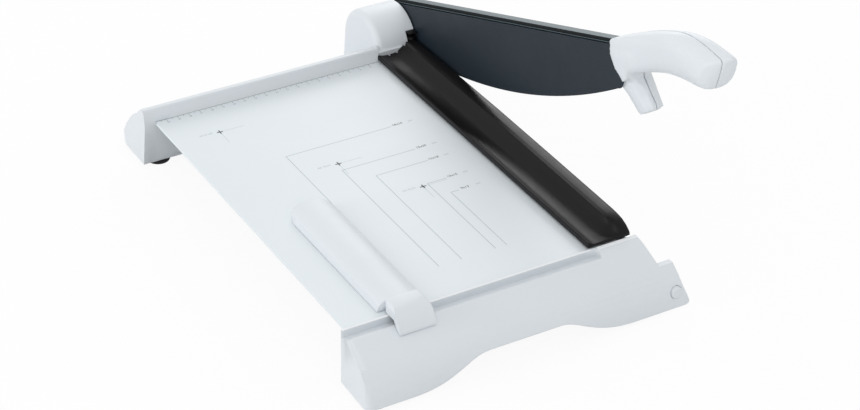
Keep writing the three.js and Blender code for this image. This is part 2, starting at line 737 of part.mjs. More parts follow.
// Steel plate inside the drum: a disc round the pivot and a tongue that runs into the beam
function pivotBracket() {
  const disc = rod('x', BRACKET_RADIUS, bracketLeftX, bracketRightX, 0, PIVOT_HEIGHT, ROUND_STEPS * 2);
  const tongue = box(bracketLeftX, beamRightX - BEAM_WALL - FIT, -BRACKET_TONGUE_LENGTH, BRACKET_RADIUS / 2,
    BRACKET_TONGUE_LOW, BRACKET_TONGUE_HIGH);
  const slab = box(bracketLeftX, bracketRightX, -BRACKET_TONGUE_LENGTH, BRACKET_RADIUS, 0, TABLE_TOP);
  const bore = rod('x', BUSH_RADIUS + FIT, bracketLeftX - FIT, bracketRightX + FIT, 0, PIVOT_HEIGHT);
  let plate = disc.add(tongue.intersect(slab)).subtract(bore);
  for (const y of bracketScrewPlaces()) {
    plate = plate.subtract(screwHole('x', bracketLeftX - FIT, bracketRightX + FIT, y, bracketScrewZ()));
  }
  return plate;
}

function pivotBush() {
  const right = bracketRightX + BUSH_FLANGE + FIT;
  const bore = BOLT_RADIUS + RUN;
  return turned('x', [
    [bore, bracketLeftX],
    [BUSH_RADIUS, bracketLeftX],
    [BUSH_RADIUS, bracketRightX + FIT],
    [BUSH_FLANGE_RADIUS, bracketRightX + FIT],
    [BUSH_FLANGE_RADIUS, right],
    [bore, right],
    [bore, bracketLeftX],
  ], 0, PIVOT_HEIGHT);
}

function frictionWasher() {
  const left = bracketRightX + BUSH_FLANGE + FIT * 2;
  const bore = BOLT_RADIUS + RUN;
  return turned('x', [
    [bore, left],
    [WASHER_RADIUS, left],
    [WASHER_RADIUS, -WASHER_GAP],
    [bore, -WASHER_GAP],
    [bore, left],
  ], 0, PIVOT_HEIGHT);
}

// Coned spring washer between the bracket and the nut
function discSpring() {
  const right = bracketLeftX - FIT;
  const bore = BOLT_RADIUS + RUN;
  return turned('x', [
    [bore, right - DISC_SPRING_RISE - DISC_SPRING_THICK],
    [DISC_SPRING_RADIUS, right - DISC_SPRING_THICK],
    [DISC_SPRING_RADIUS, right],
    [bore, right - DISC_SPRING_RISE],
    [bore, right - DISC_SPRING_RISE - DISC_SPRING_THICK],
  ], 0, PIVOT_HEIGHT);
}

function nutRightX() {
  return bracketLeftX - FIT * 2 - DISC_SPRING_RISE - DISC_SPRING_THICK;
}
function lockNut() {
  const right = nutRightX();
  const left = right - NUT_HEIGHT;
  const corner = NUT_ACROSS / Math.sqrt(3);
  const hexagon = spread(7, 0, Math.PI * 2).slice(0, 6).map((angle) => [
    corner * Math.cos(angle),
    PIVOT_HEIGHT + corner * Math.sin(angle),
  ]);
  return along('x', hexagon, left, right)
    .add(rod('x', NUT_ACROSS / 2, left - NUT_COLLAR, left + FIT, 0, PIVOT_HEIGHT))
    .subtract(rod('x', BOLT_RADIUS + FIT, left - OVERRUN, right + OVERRUN, 0, PIVOT_HEIGHT));
}

function pivotBolt() {
  const left = nutRightX() - NUT_HEIGHT - NUT_COLLAR - BOLT_END;
  const seat = hubRightX + FIT;
  const head = seat + BOLT_HEAD_HEIGHT;
  const edge = BOLT_HEAD_HEIGHT / 5;
  return turned('x', [
    [0, left],
    [BOLT_RADIUS - edge, left],
    [BOLT_RADIUS, left + edge],
    [BOLT_RADIUS, seat],
    [BOLT_HEAD_RADIUS, seat],
    [BOLT_HEAD_RADIUS, head - edge],
    [BOLT_HEAD_RADIUS - edge, head],
    [0, head],
  ], 0, PIVOT_HEIGHT);
}

// Side outline of the front moulding, anticlockwise
function panelProfile() {
  const top = TABLE_TOP + PANEL_RISE;
  const knots = panelFrontShares.map(([a, b]) => new THREE.Vector2(
    tableFrontY - a * PANEL_DEPTH,
    FOOT_HEIGHT + b * (top - FOOT_HEIGHT),
  ));
  const front = new THREE.SplineCurve(knots).getPoints(PANEL_STEPS);
  return [[tableFrontY, FOOT_HEIGHT], ...front.map((point) => [point.x, point.y])];
}

// The same outline one wall further in, without the short span beside the table
function panelHollow(profile) {
  return inset([...profile.slice(0, 2), ...profile.slice(3)], WALL);
}

// Plan of the front moulding: both ends open out towards the front and the left corner is round
function panelPlan(distance) {
  const left = -TABLE_WIDTH - PANEL_LEFT + distance;
  const right = PANEL_RIGHT - distance;
  const front = panelFrontY + distance;
  const corner = spread(ARC_STEPS, 0, Math.PI / 2).map((angle) => [
    left - PANEL_DRAFT + PANEL_CORNER * (1 - Math.cos(angle)),
    front + PANEL_CORNER * (1 - Math.sin(angle)),
  ]);
  return [
    [left, tableFrontY + OVERRUN * 2],
    ...corner,
    [left - PANEL_DRAFT + PANEL_CORNER, front - OVERRUN],
    [right + PANEL_RIGHT_DRAFT, front - OVERRUN],
    [right + PANEL_RIGHT_DRAFT, front],
    [right, tableFrontY],
    [right, tableFrontY + OVERRUN * 2],
  ];
}

function archCut() {
  const low = FOOT_HEIGHT - OVERRUN;
  const top = FOOT_HEIGHT + ARCH_HEIGHT;
  const leftRamp = ARCH_LEFT - ARCH_FLAT_LEFT;
  const rightRamp = ARCH_FLAT_RIGHT - ARCH_RIGHT;
  const shape = new THREE.Shape();
  shape.moveTo(-ARCH_LEFT, low);
  shape.lineTo(-ARCH_LEFT, FOOT_HEIGHT);
  shape.bezierCurveTo(-ARCH_LEFT + leftRamp * rampShares[0], FOOT_HEIGHT,
    -ARCH_FLAT_LEFT - leftRamp * rampShares[1], top, -ARCH_FLAT_LEFT, top);
  shape.lineTo(-ARCH_FLAT_RIGHT, top);
  shape.bezierCurveTo(-ARCH_FLAT_RIGHT + rightRamp * rampShares[2], top,
    -ARCH_RIGHT - rightRamp * rampShares[0], FOOT_HEIGHT, -ARCH_RIGHT, FOOT_HEIGHT);
  shape.lineTo(-ARCH_RIGHT, low);
  return along('y', shape, panelFrontY - OVERRUN, tableFrontY - PANEL_DEPTH / 2, ARC_STEPS * 2);
}

// Thin wall that carries the front on past the end of the moulding
function panelSkirt(profile) {
  const wall = along('x', profile, 0, SKIRT_REACH)
    .subtract(along('x', panelHollow(profile), -OVERRUN, SKIRT_REACH + OVERRUN))
    .subtract(box(-OVERRUN, SKIRT_REACH + OVERRUN, tableFrontY - PANEL_DEPTH / 3, tableFrontY + OVERRUN,
      0, TABLE_TOP + OVERRUN))
    .subtract(box(-OVERRUN, SKIRT_REACH + OVERRUN, panelFrontY + WALL, tableFrontY, 0, FOOT_HEIGHT + WALL));
  const edge = skirtShares.map(([a, b]) => new THREE.Vector2(
    a * SKIRT_REACH,
    FOOT_HEIGHT + b * (SKIRT_TOP - FOOT_HEIGHT),
  ));
  const face = new THREE.Shape();
  face.moveTo(0, FOOT_HEIGHT);
  face.lineTo(SKIRT_REACH - SKIRT_CORNER, FOOT_HEIGHT);
  face.quadraticCurveTo(SKIRT_REACH, FOOT_HEIGHT, edge[0].x, edge[0].y);
  face.splineThru(edge.slice(1));
  face.lineTo(0, SKIRT_TOP);
  return wall.intersect(along('y', face, panelFrontY - OVERRUN, tableFrontY));
}

function paperSlot() {
  const back = tableFrontY - SLOT_FRONT + SLOT_WIDTH;
  const front = tableFrontY - SLOT_FRONT;
  const radius = SLOT_WIDTH / 2;
  const plan = new THREE.Shape();
  plan.moveTo(-TABLE_WIDTH - OVERRUN, front);
  plan.lineTo(-SLOT_END - radius, front);
  plan.absarc(-SLOT_END - radius, front + radius, radius, -Math.PI / 2, Math.PI / 2, false);
  plan.lineTo(-TABLE_WIDTH - OVERRUN, back);
  return along('z', plan, slotFloor(), TABLE_TOP + OVERRUN);
}
function slotFloor() {
  return TABLE_TOP + PANEL_RISE - SLOT_DEPTH;
}

// Rib that reaches back into the beam and takes its screw
function panelTongue() {
  const high = sheetUnderside - BEAM_WALL - TONGUE_DROP;
  const left = beamLeftX + BEAM_WALL;
  return box(left, left + WALL * 2, tableFrontY - PANEL_DEPTH / 2, tableFrontY + TONGUE_LENGTH,
    high - TONGUE_HEIGHT, high);
}

function frontPanel() {
  const left = -TABLE_WIDTH - PANEL_LEFT - PANEL_DRAFT;
  const right = PANEL_RIGHT + PANEL_RIGHT_DRAFT;
  const profile = panelProfile();
  const outer = along('x', profile, left, right).intersect(along('z', panelPlan(0), 0, TABLE_TOP + OVERRUN));
  const low = panelHollow(profile).map(([y, z]) => [y, Math.min(z, deckUnderside)]);
  low.forEach((point) => {
    if (point[1] < FOOT_HEIGHT + WALL + FIT) point[1] = 0;
    if (point[0] > tableFrontY - WALL - FIT) point[0] = tableFrontY + OVERRUN;
  });
  const cavity = along('x', low, left, right).intersect(along('z', panelPlan(WALL), -OVERRUN, TABLE_TOP));
  let inside = footBoss(frontLeftFootX, frontFootY, TABLE_TOP)
    .add(footBoss(FRONT_RIGHT_FOOT_X, frontFootY, TABLE_TOP));
  for (const x of spread(PANEL_RIBS, -ARCH_LEFT, -ARCH_RIGHT)) {
    inside = inside.add(box(x - RIB / 2, x + RIB / 2, panelFrontY, tableFrontY,
      FOOT_HEIGHT + ARCH_HEIGHT + RIB, TABLE_TOP));
  }
  const slotBack = tableFrontY - SLOT_FRONT + SLOT_WIDTH;
  const ledge = box(-TABLE_WIDTH + LEDGE_END_GAP, beamLeftX - FIT, slotBack, tableFrontY + LEDGE_DEPTH,
    sheetUnderside - LEDGE_THICK, sheetUnderside);
  const plugHole = rod('y', PLUG_RADIUS + FIT, panelFrontY - OVERRUN, panelFrontY + OVERRUN,
    PLUG_X, PLUG_HEIGHT);
  let panel = outer.subtract(cavity).add(panelSkirt(profile)).add(inside.intersect(outer));
  panel = panel.subtract(archCut()).subtract(paperSlot()).subtract(plugHole);
  const behind = box(-TABLE_WIDTH, 0, tableFrontY, tableFrontY + TONGUE_LENGTH, 0, TABLE_TOP);
  panel = panel.add(ledge).add(panelTongue().intersect(outer.add(behind)));
  for (const x of [frontLeftFootX, FRONT_RIGHT_FOOT_X]) {
    panel = panel.subtract(footHole(x, frontFootY));
  }
  for (const y of tongueScrewPlaces()) {
    panel = panel.subtract(screwHole('x', beamLeftX, beamLeftX + BEAM_WALL + WALL * 3, y, tongueScrewZ()));
  }
  return panel;
}

function panelPlug() {
  const front = panelFrontY - PLUG_PROUD;
  const back = front + PLUG_LENGTH;
  const edge = PLUG_PROUD;
  return turned('y', [
    [0, front],
    [PLUG_RADIUS - edge, front],
    [PLUG_RADIUS, front + edge],
    [PLUG_RADIUS, back],
    [0, back],
  ], PLUG_X, PLUG_HEIGHT);
}

// Rubber foot with a stem that pushes into its boss
function foot(x, y) {
  const top = FOOT_HEIGHT + FOOT_STEM_LENGTH;
  return turned('z', [
    [0, 0],
    [FOOT_RADIUS - FOOT_EDGE, 0],
    [FOOT_RADIUS, FOOT_EDGE],
    [FOOT_RADIUS, FOOT_HEIGHT],
    [FOOT_STEM, FOOT_HEIGHT],
    [FOOT_STEM, top],
    [0, top],
  ], x, y);
}

// Section of the clamp bar without its ridge: a flat floor and a lip
function clampFloor() {
  const left = clampLeftX;
  const edge = CLAMP_LIP - CLAMP_FLOOR;
  return [
    [clampRightX, clampLow],
    [clampRightX, clampLow + CLAMP_FLOOR],
    [left + edge * 4, clampLow + CLAMP_FLOOR],
    [left + edge * 2, clampLow + CLAMP_FLOOR + edge / 3],
    [left + edge, clampLow + CLAMP_LIP - edge / 5],
    [left + edge / 3, clampLow + CLAMP_LIP],
    [left, clampLow + CLAMP_LIP - edge / 3],
    [left, clampLow],
  ];
}

// Ridge along the cut: its height and the width of its top change along the bar
function clampRidge() {
  const length = clampRearY - clampFrontY;
  const body = clampLengthShares.map((share, i) => [
    clampRearY - share * (length - CLAMP_NOSE), clampRidgeShares[i] * CLAMP_RIDGE, CLAMP_RIDGE_TOP,
  ]);
  const nose = noseLengthShares.map((share, i) => [
    clampFrontY + (1 - share) * CLAMP_NOSE,
    noseRidgeShares[i] * CLAMP_RIDGE,
    noseTopShares[i] * CLAMP_RIDGE_TOP,
  ]);
  const rings = [...body, ...nose.slice(1)].map(([y, height, width]) => {
    const wallHigh = clampTopShares.at(-1)[1] * height;
    const wallLow = Math.min(CLAMP_FLOOR, wallHigh) * (1 - FOOT_SHARE);
    const top = clampTopShares.map(([a, b]) => [a * width, b * height]);
    const wall = clampWallShares.map(([a, b]) => [
      width + a * (CLAMP_RIDGE_FOOT - width),
      wallLow + b * (wallHigh - wallLow),
    ]);
    return [[0, 0], ...top, ...wall, [CLAMP_RIDGE_FOOT, 0]].map(([a, b]) => (
      new THREE.Vector3(clampRightX - a, y, clampLow + b)
    ));
  });
  return loft(rings);
}

// Post at the back that is guided inside the drum, and the bridge that carries it
function clampEar() {
  const radius = EAR_WIDTH / 2;
  const left = clampRightX - EAR_WIDTH;
  const shape = new THREE.Shape();
  shape.moveTo(left, clampLow);
  shape.lineTo(clampRightX, clampLow);
  shape.lineTo(clampRightX, EAR_TOP - radius);
  shape.absarc(clampRightX - radius, EAR_TOP - radius, radius, 0, Math.PI, false);
  const bridge = box(left, clampRightX, clampRearY - EAR_WIDTH, -EAR_FRONT + EAR_WIDTH / 4,
    clampLow, clampLow + CLAMP_LIP);
  return along('y', shape, -EAR_FRONT, -EAR_REACH).add(bridge);
}

function clampBar() {
  const strip = box(stripLeftX() - FIT, stripRightX() + FIT,
    clampFrontY + STRIP_INSET - FIT, clampRearY - STRIP_INSET + FIT,
    clampLow - OVERRUN, clampLow + STRIP_THICK - STRIP_PROUD + FIT);
  let bar = along('y', clampFloor(), clampFrontY, clampRearY).add(clampRidge());
  for (const x of spread(CLAMP_TEETH, CLAMP_TOOTH_FIRST, CLAMP_TOOTH_LAST)) {
    const left = clampRightX - x - CLAMP_TOOTH;
    bar = bar.subtract(box(left, left + CLAMP_TOOTH, clampRearY - CLAMP_TOOTH, fenceY,
      clampLow - FIT, clampLow + CLAMP_RIDGE * 2));
  }
  bar = bar.add(clampEar()).subtract(strip);
  for (const [x, y, top] of clampPinPlaces()) {
    bar = bar.subtract(rod('z', CLAMP_PIN_RADIUS + FIT / 3, clampLow - FIT, top + FIT, x, y));
  }
  return bar;
}

// The front pin stands under the gutter and the rear one in the ear
function clampPinPlaces() {
  return [
    [REAR_PIN_X, REAR_PIN_Y, clampLow + CLAMP_LIP],
    [FRONT_PIN_X, frontPinY, clampLow + CLAMP_LIP / 3],
  ];
}
function clampPin([x, y, top]) {
  return rod('z', CLAMP_PIN_RADIUS, top - CLAMP_PIN_LENGTH, top, x, y, ROUND_STEPS / 2 + 2);
}

function stripRightX() {
  return clampRightX - STRIP_INSET;
}
function stripLeftX() {
  return stripRightX() - STRIP_WIDTH;
}
function clampStrip() {
  return box(stripLeftX(), stripRightX(), clampFrontY + STRIP_INSET, clampRearY - STRIP_INSET,
    clampLow - STRIP_PROUD, clampLow + STRIP_THICK - STRIP_PROUD);
}

// Outline of the blade in the arm's own plane: hub, straight back, end and long curved edge
function edgeW(u, radius) {
  const centre = EDGE_LOWEST_W + EDGE_RADIUS;
  return centre - Math.sqrt(radius * radius - (u - EDGE_LOWEST_U) ** 2);
}
function bladeOutline(grind) {
  const radius = EDGE_RADIUS - grind;
  const hub = BLADE_TOP;
  const edgeStart = hub * HUB_EDGE_SHARE;
  const startAngle = Math.atan2(edgeW(edgeStart, radius), edgeStart);
  const hubArc = spread(ARC_STEPS * 2 + 1, startAngle, -Math.PI * 1.5).map((angle) => [
    hub * Math.cos(angle),
    hub * Math.sin(angle),
  ]);
  const endW = edgeW(BLADE_LENGTH - BLADE_CORNER, radius);
  const corner = spread(ARC_STEPS, 0, 1).map((t) => [
    BLADE_LENGTH - BLADE_CORNER * (1 - t) ** 2,
    endW + BLADE_CORNER * t * t,
  ]);
  const cornerStart = BLADE_LENGTH - BLADE_CORNER;
  const edge = spread(ARC_STEPS * 4, cornerStart, edgeStart).map((u) => [u, edgeW(u, radius)]);
  return [[BLADE_LENGTH, BLADE_TOP], ...corner.reverse(), ...edge.slice(1, -1), ...hubArc];
}
function armOutline(points) {
  return points.map(([u, w]) => [-u, w]);
}

function bladeSolid() {
  const flat = along('x', armOutline(bladeOutline(0)), 0, BLADE_THICK / 4);
  const relieved = along('x', armOutline(bladeOutline(EDGE_GRIND / 2)), 0, BLADE_THICK * GRIND_SHARE);
  const back = along('x', armOutline(bladeOutline(EDGE_GRIND)), 0, BLADE_THICK);
  let blade = flat.add(relieved).add(back);
  blade = blade.subtract(rod('x', BOLT_RADIUS + RUN, -OVERRUN, OVERRUN, 0, 0));
  for (const u of bladeScrewPlaces()) {
    blade = blade.subtract(screwHole('x', BLADE_THICK / 4, OVERRUN, -u, BLADE_SCREW_W));
  }
  return blade;
}
function bladeScrewPlaces() {
  return spread(BLADE_SCREWS, BLADE_SCREW_FIRST, BLADE_LENGTH - BLADE_SCREW_END);
}

// Section of the arm's rounded top, grown all round by a gap
function crownShape(gap) {
  const low = BLADE_TOP - ARM_RIM / 2 - ARM_RIM - gap;
  const high = BLADE_TOP + ARM_CROWN + gap;
  const left = -gap;
  const right = ARM_WIDTH + gap;
  const crown = new THREE.Shape();
  crown.moveTo(armFaceX - gap, low);
  crown.lineTo(right, low);
  crown.lineTo(right, BLADE_TOP);
  crown.quadraticCurveTo(right, high, ARM_WIDTH / 2, high);
  crown.quadraticCurveTo(left, high, left, BLADE_TOP + ARM_GROOVE - gap);
  crown.lineTo(armFaceX - gap, BLADE_TOP + ARM_GROOVE - gap);
  return crown;
}

// Cast arm behind the blade: crowned top flange, web, rims and a zigzag of braces
function bladeArm() {
  const top = BLADE_TOP - ARM_RIM / 2;
  const span = armEnd - HANDLE_WALL;
  const plate = [[0, ARM_LOW], [span, ARM_LOW], [span, top], [0, top]];
  const web = along('x', armOutline(plate), armFaceX, armWebX);
  const flange = along('y', crownShape(0), -span, 0);
  const lowRim = box(armFaceX, hubRightX, -span, 0, ARM_LOW, ARM_LOW + ARM_RIM);
  let arm = web.add(flange).add(lowRim);
  const knots = spread(ARM_BAYS * 2 + 1, ARM_HUB_RADIUS, span - ARM_RIM);
  knots.slice(0, -1).forEach((u, i) => {
    const from = i % 2 ? top - ARM_RIM : ARM_LOW + ARM_RIM;
    const to = i % 2 ? ARM_LOW + ARM_RIM : top - ARM_RIM;
    const half = ARM_BRACE / 2;
    const next = knots[i + 1];
    const bar = [[u - half, from], [u + half, from], [next + half, to], [next - half, to]];
    arm = arm.add(along('x', armOutline(bar), armFaceX, hubRightX - ARM_RIM));
  });
  arm = arm.add(box(armFaceX, hubRightX, -span, -span + ARM_RIM, ARM_LOW, top));
  arm = arm.add(rod('x', ARM_HUB_RADIUS, armFaceX, hubRightX, 0, 0, ROUND_STEPS * 2));
  const tangEnd = span + TANG_LENGTH;
  const tangRoot = span - ARM_RIM;
  const tang = [
    [tangRoot, TANG_LOW],
    [tangEnd, TANG_LOW],
    [tangEnd, TANG_HIGH],
    [tangRoot + TANG_RAMP, TANG_HIGH],
    [tangRoot, TANG_HIGH - TANG_STEP],
  ];
  arm = arm.add(along('x', armOutline(tang), armFaceX + ARM_WEB, hubRightX - ARM_WEB));
  arm = arm.subtract(rod('x', BOLT_RADIUS + RUN, -OVERRUN, OVERRUN, 0, 0));
  for (const u of bladeScrewPlaces()) {
    arm = arm.add(rod('x', SCREW_HEAD + ARM_BRACE, armFaceX, armWebX + ARM_BRACE, -u, BLADE_SCREW_W));
  }
  for (const u of bladeScrewPlaces()) {
    arm = arm.subtract(screwHole('x', armFaceX - FIT, armWebX + OVERRUN, -u, BLADE_SCREW_W));
    arm = arm.subtract(rod('x', SCREW_HEAD + FIT, armWebX + ARM_BRACE, armWebX + OVERRUN, -u, BLADE_SCREW_W));
  }
  for (const u of handleScrewPlaces) {
    arm = arm.subtract(rod('x', HANDLE_BOSS + FIT, 0, OVERRUN, -u, HANDLE_SCREW_W));
  }
  return arm;
}

function bladeScrew(u) {
  return screw('x', armWebX + ARM_BRACE + FIT, -1, ARM_BRACE + ARM_WEB + BLADE_THICK / 2, -u, BLADE_SCREW_W);
}

// Shallow cap that snaps over the bolt head
function pivotCap() {
  const left = hubRightX + FIT;
  const inner = left + FIT + BOLT_HEAD_HEIGHT + FIT;
  const outer = inner + CAP_THICK;
  return turned('x', [
    [0, inner],
    [CAP_RADIUS - CAP_THICK, inner],
    [CAP_RADIUS - CAP_THICK, left],
    [CAP_RADIUS, left],
    [CAP_RADIUS, outer - CAP_THICK],
    [CAP_RADIUS - CAP_THICK, outer],
    [0, outer],
  ], 0, 0);
}

// Smaller of two depths with the edge between them rounded over one width
function softMin(a, b, width) {
  const overlap = Math.max(width - Math.abs(a - b), 0) / width;
  return Math.min(a, b) - (overlap * overlap * width) / 4;
}

// Depth of a point inside an outline, negative outside it
function outlineDepth(points, a, b) {
  let nearest = Infinity;
  let inside = false;
  points.forEach(([a0, b0], i) => {
    const [a1, b1] = points[(i + 1) % points.length];
    const da = a1 - a0;
    const db = b1 - b0;
    const share = THREE.MathUtils.clamp(((a - a0) * da + (b - b0) * db) / (da * da + db * db), 0, 1);
    nearest = Math.min(nearest, Math.hypot(a - a0 - share * da, b - b0 - share * db));
    const crosses = (b0 > b) !== (b1 > b);
    if (crosses && a < a0 + (da * (b - b0)) / db) inside = !inside;
  });
  return inside ? nearest : -nearest;
}

// Depth inside the grip: rounded sections along the arm, cut by the faces of the tip
const gripShares = [handleTopShares, handleLowShares, handleLeftShares, handleRightShares, gripRoundness];
const gripTables = gripShares.map((shares) => (
  new THREE.CubicInterpolant(handleStationShares, shares, 1)
));
function gripDepth(x, u, w) {
  const share = THREE.MathUtils.clamp((u - handleStart) / (handleEnd - handleStart), 0, 1);
  const [top, low, left, right, roundness] = gripTables.map((table) => table.evaluate(share)[0]);
  const halfWidth = ((left + right) * HANDLE_WIDTH) / 2;
  const halfHeight = ((top - low) * HANDLE_HEIGHT) / 2;
  const dx = x - HANDLE_PARTING - ((right - left) * HANDLE_WIDTH) / 2;
  const dw = w - ((top + low) * HANDLE_HEIGHT) / 2;
  const size = Math.abs(dx / halfWidth) ** roundness + Math.abs(dw / halfHeight) ** roundness;
  const ratio = Math.max(size ** (1 / roundness), WELD);
  const around = Math.min(Math.hypot(dx, dw) * (1 / ratio - 1), halfWidth);
  const across = x - HANDLE_PARTING;
  const rise = w - TIP_W;
  const ahead = handleEnd - TIP_INSET - u;
  const [leftTip, rightTip] = tipShares.map(([a, b]) => (
    (ahead + a * across + b * rise) / Math.hypot(1, a, b)
  ));
  const [a, b, lift] = tipTopShares;
  const upper = (ahead + a * across + b * (rise - lift * TIP_W)) / Math.hypot(1, a, b);
  const tip = softMin(leftTip, rightTip, TIP_EDGE);
  const blunt = softMin(softMin(around, upper, TIP_BLEND), tip, TIP_EDGE);
  return Math.min(blunt, u - handleStart);
}

const legOutline = legShares.map(([a, b]) => [
  handleStart - LEG_BACK + a * LEG_SPAN,
  LEG_LOW + b * (LEG_TOP - LEG_LOW),
]);

// Depth inside the leg that guards the fingers: its left face leans out to meet the grip
function legDepth(x, u, w) {
  const lean = THREE.MathUtils.smoothstep(w, LEG_SPREAD_LOW, LEG_SPREAD_HIGH);
  const side = Math.min(x - LEG_LEFT + lean * LEG_SPREAD, LEG_RIGHT - x);
  return softMin(outlineDepth(legOutline, u, w), side, LEG_EDGE);
}

function handleBody(distance, grain) {
  const depth = ([x, y, w]) => -softMin(-gripDepth(x, -y, w), -legDepth(x, -y, w), HANDLE_FILLET);
  const bounds = {
    min: [-OVERRUN, -handleEnd, LEG_LOW - HANDLE_FILLET],
    max: [HANDLE_PARTING + HANDLE_WIDTH, -handleStart + OVERRUN / 2, HANDLE_HEIGHT + HANDLE_FILLET],
  };
  return wasm.Manifold.levelSet(depth, bounds, grain, distance).simplify(HANDLE_SKIN);
}

// Everything that the handle must leave free for the blade and the arm
function handleWays() {
  const bladeEnd = BLADE_LENGTH + FIT * 2;
  const bladeWay = box(-FIT, armFaceX, -bladeEnd, -handleStart + OVERRUN,
    LEG_LOW - OVERRUN, BLADE_TOP + FIT);
  const webWay = box(armFaceX - FIT, ARM_WIDTH + FIT, -armEnd, -handleStart + OVERRUN,
    ARM_LOW - FIT, BLADE_TOP - ARM_RIM);
  const crownWay = along('y', crownShape(FIT), -armEnd, -handleStart + OVERRUN);
  return bladeWay.add(webWay).add(crownWay);
}

// The left cheek stops on a curve across the blade
function cheekCut() {
  const shape = new THREE.Shape();
  const edgeU = handleStart + HANDLE_WALL;
  const cheekLowU = BLADE_LENGTH - CHEEK_LAP;
  shape.moveTo(-handleStart + OVERRUN, HANDLE_HEIGHT);
  shape.lineTo(-handleStart, HANDLE_HEIGHT);
  shape.lineTo(-handleStart, BLADE_TOP);
  shape.quadraticCurveTo(-edgeU, BLADE_TOP / 2, -cheekLowU, CHEEK_LOW);
  shape.lineTo(-cheekLowU, LEG_LOW - OVERRUN);
  shape.lineTo(-handleStart + OVERRUN, LEG_LOW - OVERRUN);
  return along('x', shape, -OVERRUN, LEG_LEFT / 2);
}

function handleHalf(side, outer, inner) {
  const reach = HANDLE_WIDTH + OVERRUN;
  const seam = FIT / 2;
  const [from, to] = side < 0
    ? [HANDLE_PARTING - reach, HANDLE_PARTING - seam]
    : [HANDLE_PARTING + seam, HANDLE_PARTING + reach];
  const half = box(from, to, -handleEnd - OVERRUN, 0, LEG_LOW - OVERRUN, HANDLE_HEIGHT + OVERRUN);
  let shell = outer.subtract(inner);
  for (const u of handleScrewPlaces) {
    const boss = rod('x', HANDLE_BOSS, HANDLE_PARTING - reach, HANDLE_PARTING + reach, -u, HANDLE_SCREW_W);
    shell = shell.add(boss.intersect(outer));
  }
  shell = shell.intersect(half).subtract(handleWays()).subtract(cheekCut());
  for (const u of handleScrewPlaces) {
    const right = HANDLE_PARTING + reach;
    const holeLeft = HANDLE_PARTING - HANDLE_SCREW_DEPTH / 2;
    shell = shell.subtract(screwHole('x', holeLeft, right, -u, HANDLE_SCREW_W));
    shell = shell.subtract(rod('x', SCREW_HEAD + FIT, handleScrewSeat(), right, -u, HANDLE_SCREW_W));
  }
  const bodies = shell.decompose();
  return bodies.reduce((a, b) => (a.volume() > b.volume() ? a : b));
}
function handleScrewSeat() {
  return HANDLE_PARTING + HANDLE_WIDTH / 2 - SCREW_HEAD_HEIGHT * 2;
}
function handleScrew(u) {
  return screw('x', handleScrewSeat() + FIT, -1, HANDLE_SCREW_DEPTH, -u, HANDLE_SCREW_W);
}

// Paper stop: low convex bar on the table
function stopBar() {
  const left = -TABLE_WIDTH + STOP_LEFT;
  const right = -TABLE_WIDTH + STOP_RIGHT;
  const low = TABLE_TOP + STOP_LIFT;
  const high = low + STOP_HEIGHT;
  const rear = tableFrontY + STOP_LENGTH;
  const section = new THREE.Shape();
  section.moveTo(left, low);
  section.lineTo(right, low);
  section.quadraticCurveTo(right - STOP_EDGE, high - STOP_EDGE / 4, (left + right) / 2, high);
  section.quadraticCurveTo(left + STOP_EDGE, high, left + STOP_EDGE / 3, high - STOP_EDGE);
  const plan = new THREE.Shape();
  plan.moveTo(left, stopSplitY() + FIT);
  plan.lineTo(right, stopSplitY() + FIT);
  plan.lineTo(right, rear - STOP_END_RADIUS);
  plan.quadraticCurveTo(right, rear, right - STOP_END_RADIUS, rear);
  plan.lineTo(left + STOP_END_RADIUS, rear);
  plan.quadraticCurveTo(left, rear, left, rear - STOP_END_RADIUS);
  return along('y', section, stopSplitY() + FIT, rear).intersect(along('z', plan, 0, high + OVERRUN))
    .add(stopTongue(0));
}
function stopSplitY() {
  return tableFrontY + HEAD_REAR;
}
function stopTongue(play) {
  const left = -TABLE_WIDTH + HEAD_LEFT + HEAD_ROUND;
  const right = -TABLE_WIDTH + HEAD_LEFT + HEAD_WIDTH - HEAD_ROUND;
  const low = TABLE_TOP + STOP_LIFT + PANEL_RISE;
  return box(left - play, right + play, tableFrontY - HEAD_ROUND / 2 - play, stopSplitY() + HEAD_ROUND,
    low - play, low + HEAD_ROUND / 2 + play);
}

// Head of the stop: a rounded block that straddles the slot and hangs over the front
function stopHead() {
  const left = -TABLE_WIDTH + HEAD_LEFT;
  const right = left + HEAD_WIDTH;
  const rear = stopSplitY();
  const front = rear - HEAD_LENGTH;
  const top = TABLE_TOP + HEAD_TOP;
  const low = TABLE_TOP + PANEL_RISE + STOP_LIFT;
  const side = new THREE.Shape();
  side.moveTo(rear, low);
  side.lineTo(rear, top - HEAD_ROUND / 2);
  side.quadraticCurveTo(rear, top, rear - HEAD_ROUND, top);
  side.quadraticCurveTo(front + HEAD_ROUND, top, front, low - HEAD_DROP / 2);
  side.quadraticCurveTo(front - HEAD_ROUND / 4, low - HEAD_DROP, front + HEAD_ROUND / 2, low - HEAD_DROP);
  side.lineTo(tableFrontY - SLOT_FRONT, low);
  const clear = along('x', inset(panelProfile(), -STOP_LIFT), left - OVERRUN, right + OVERRUN);
  const end = rounded(left, right, low - OVERRUN, top, HEAD_ROUND);
  const plan = rounded(left, right, front - OVERRUN, rear, HEAD_ROUND);
  return along('x', side, left, right)
    .intersect(along('y', end, front - OVERRUN, rear))
    .intersect(along('z', plan, 0, top + OVERRUN))
    .subtract(clear)
    .subtract(stopTongue(FIT))
    .subtract(screwHole('z', 0, stopScrewLow() + STOP_SCREW_LENGTH + FIT, stopScrewX(), slotMidY()));
}
function stopScrewX() {
  return -TABLE_WIDTH + HEAD_LEFT + HEAD_WIDTH / 2;
}
function slotMidY() {
  return tableFrontY - SLOT_FRONT + SLOT_WIDTH / 2;
}

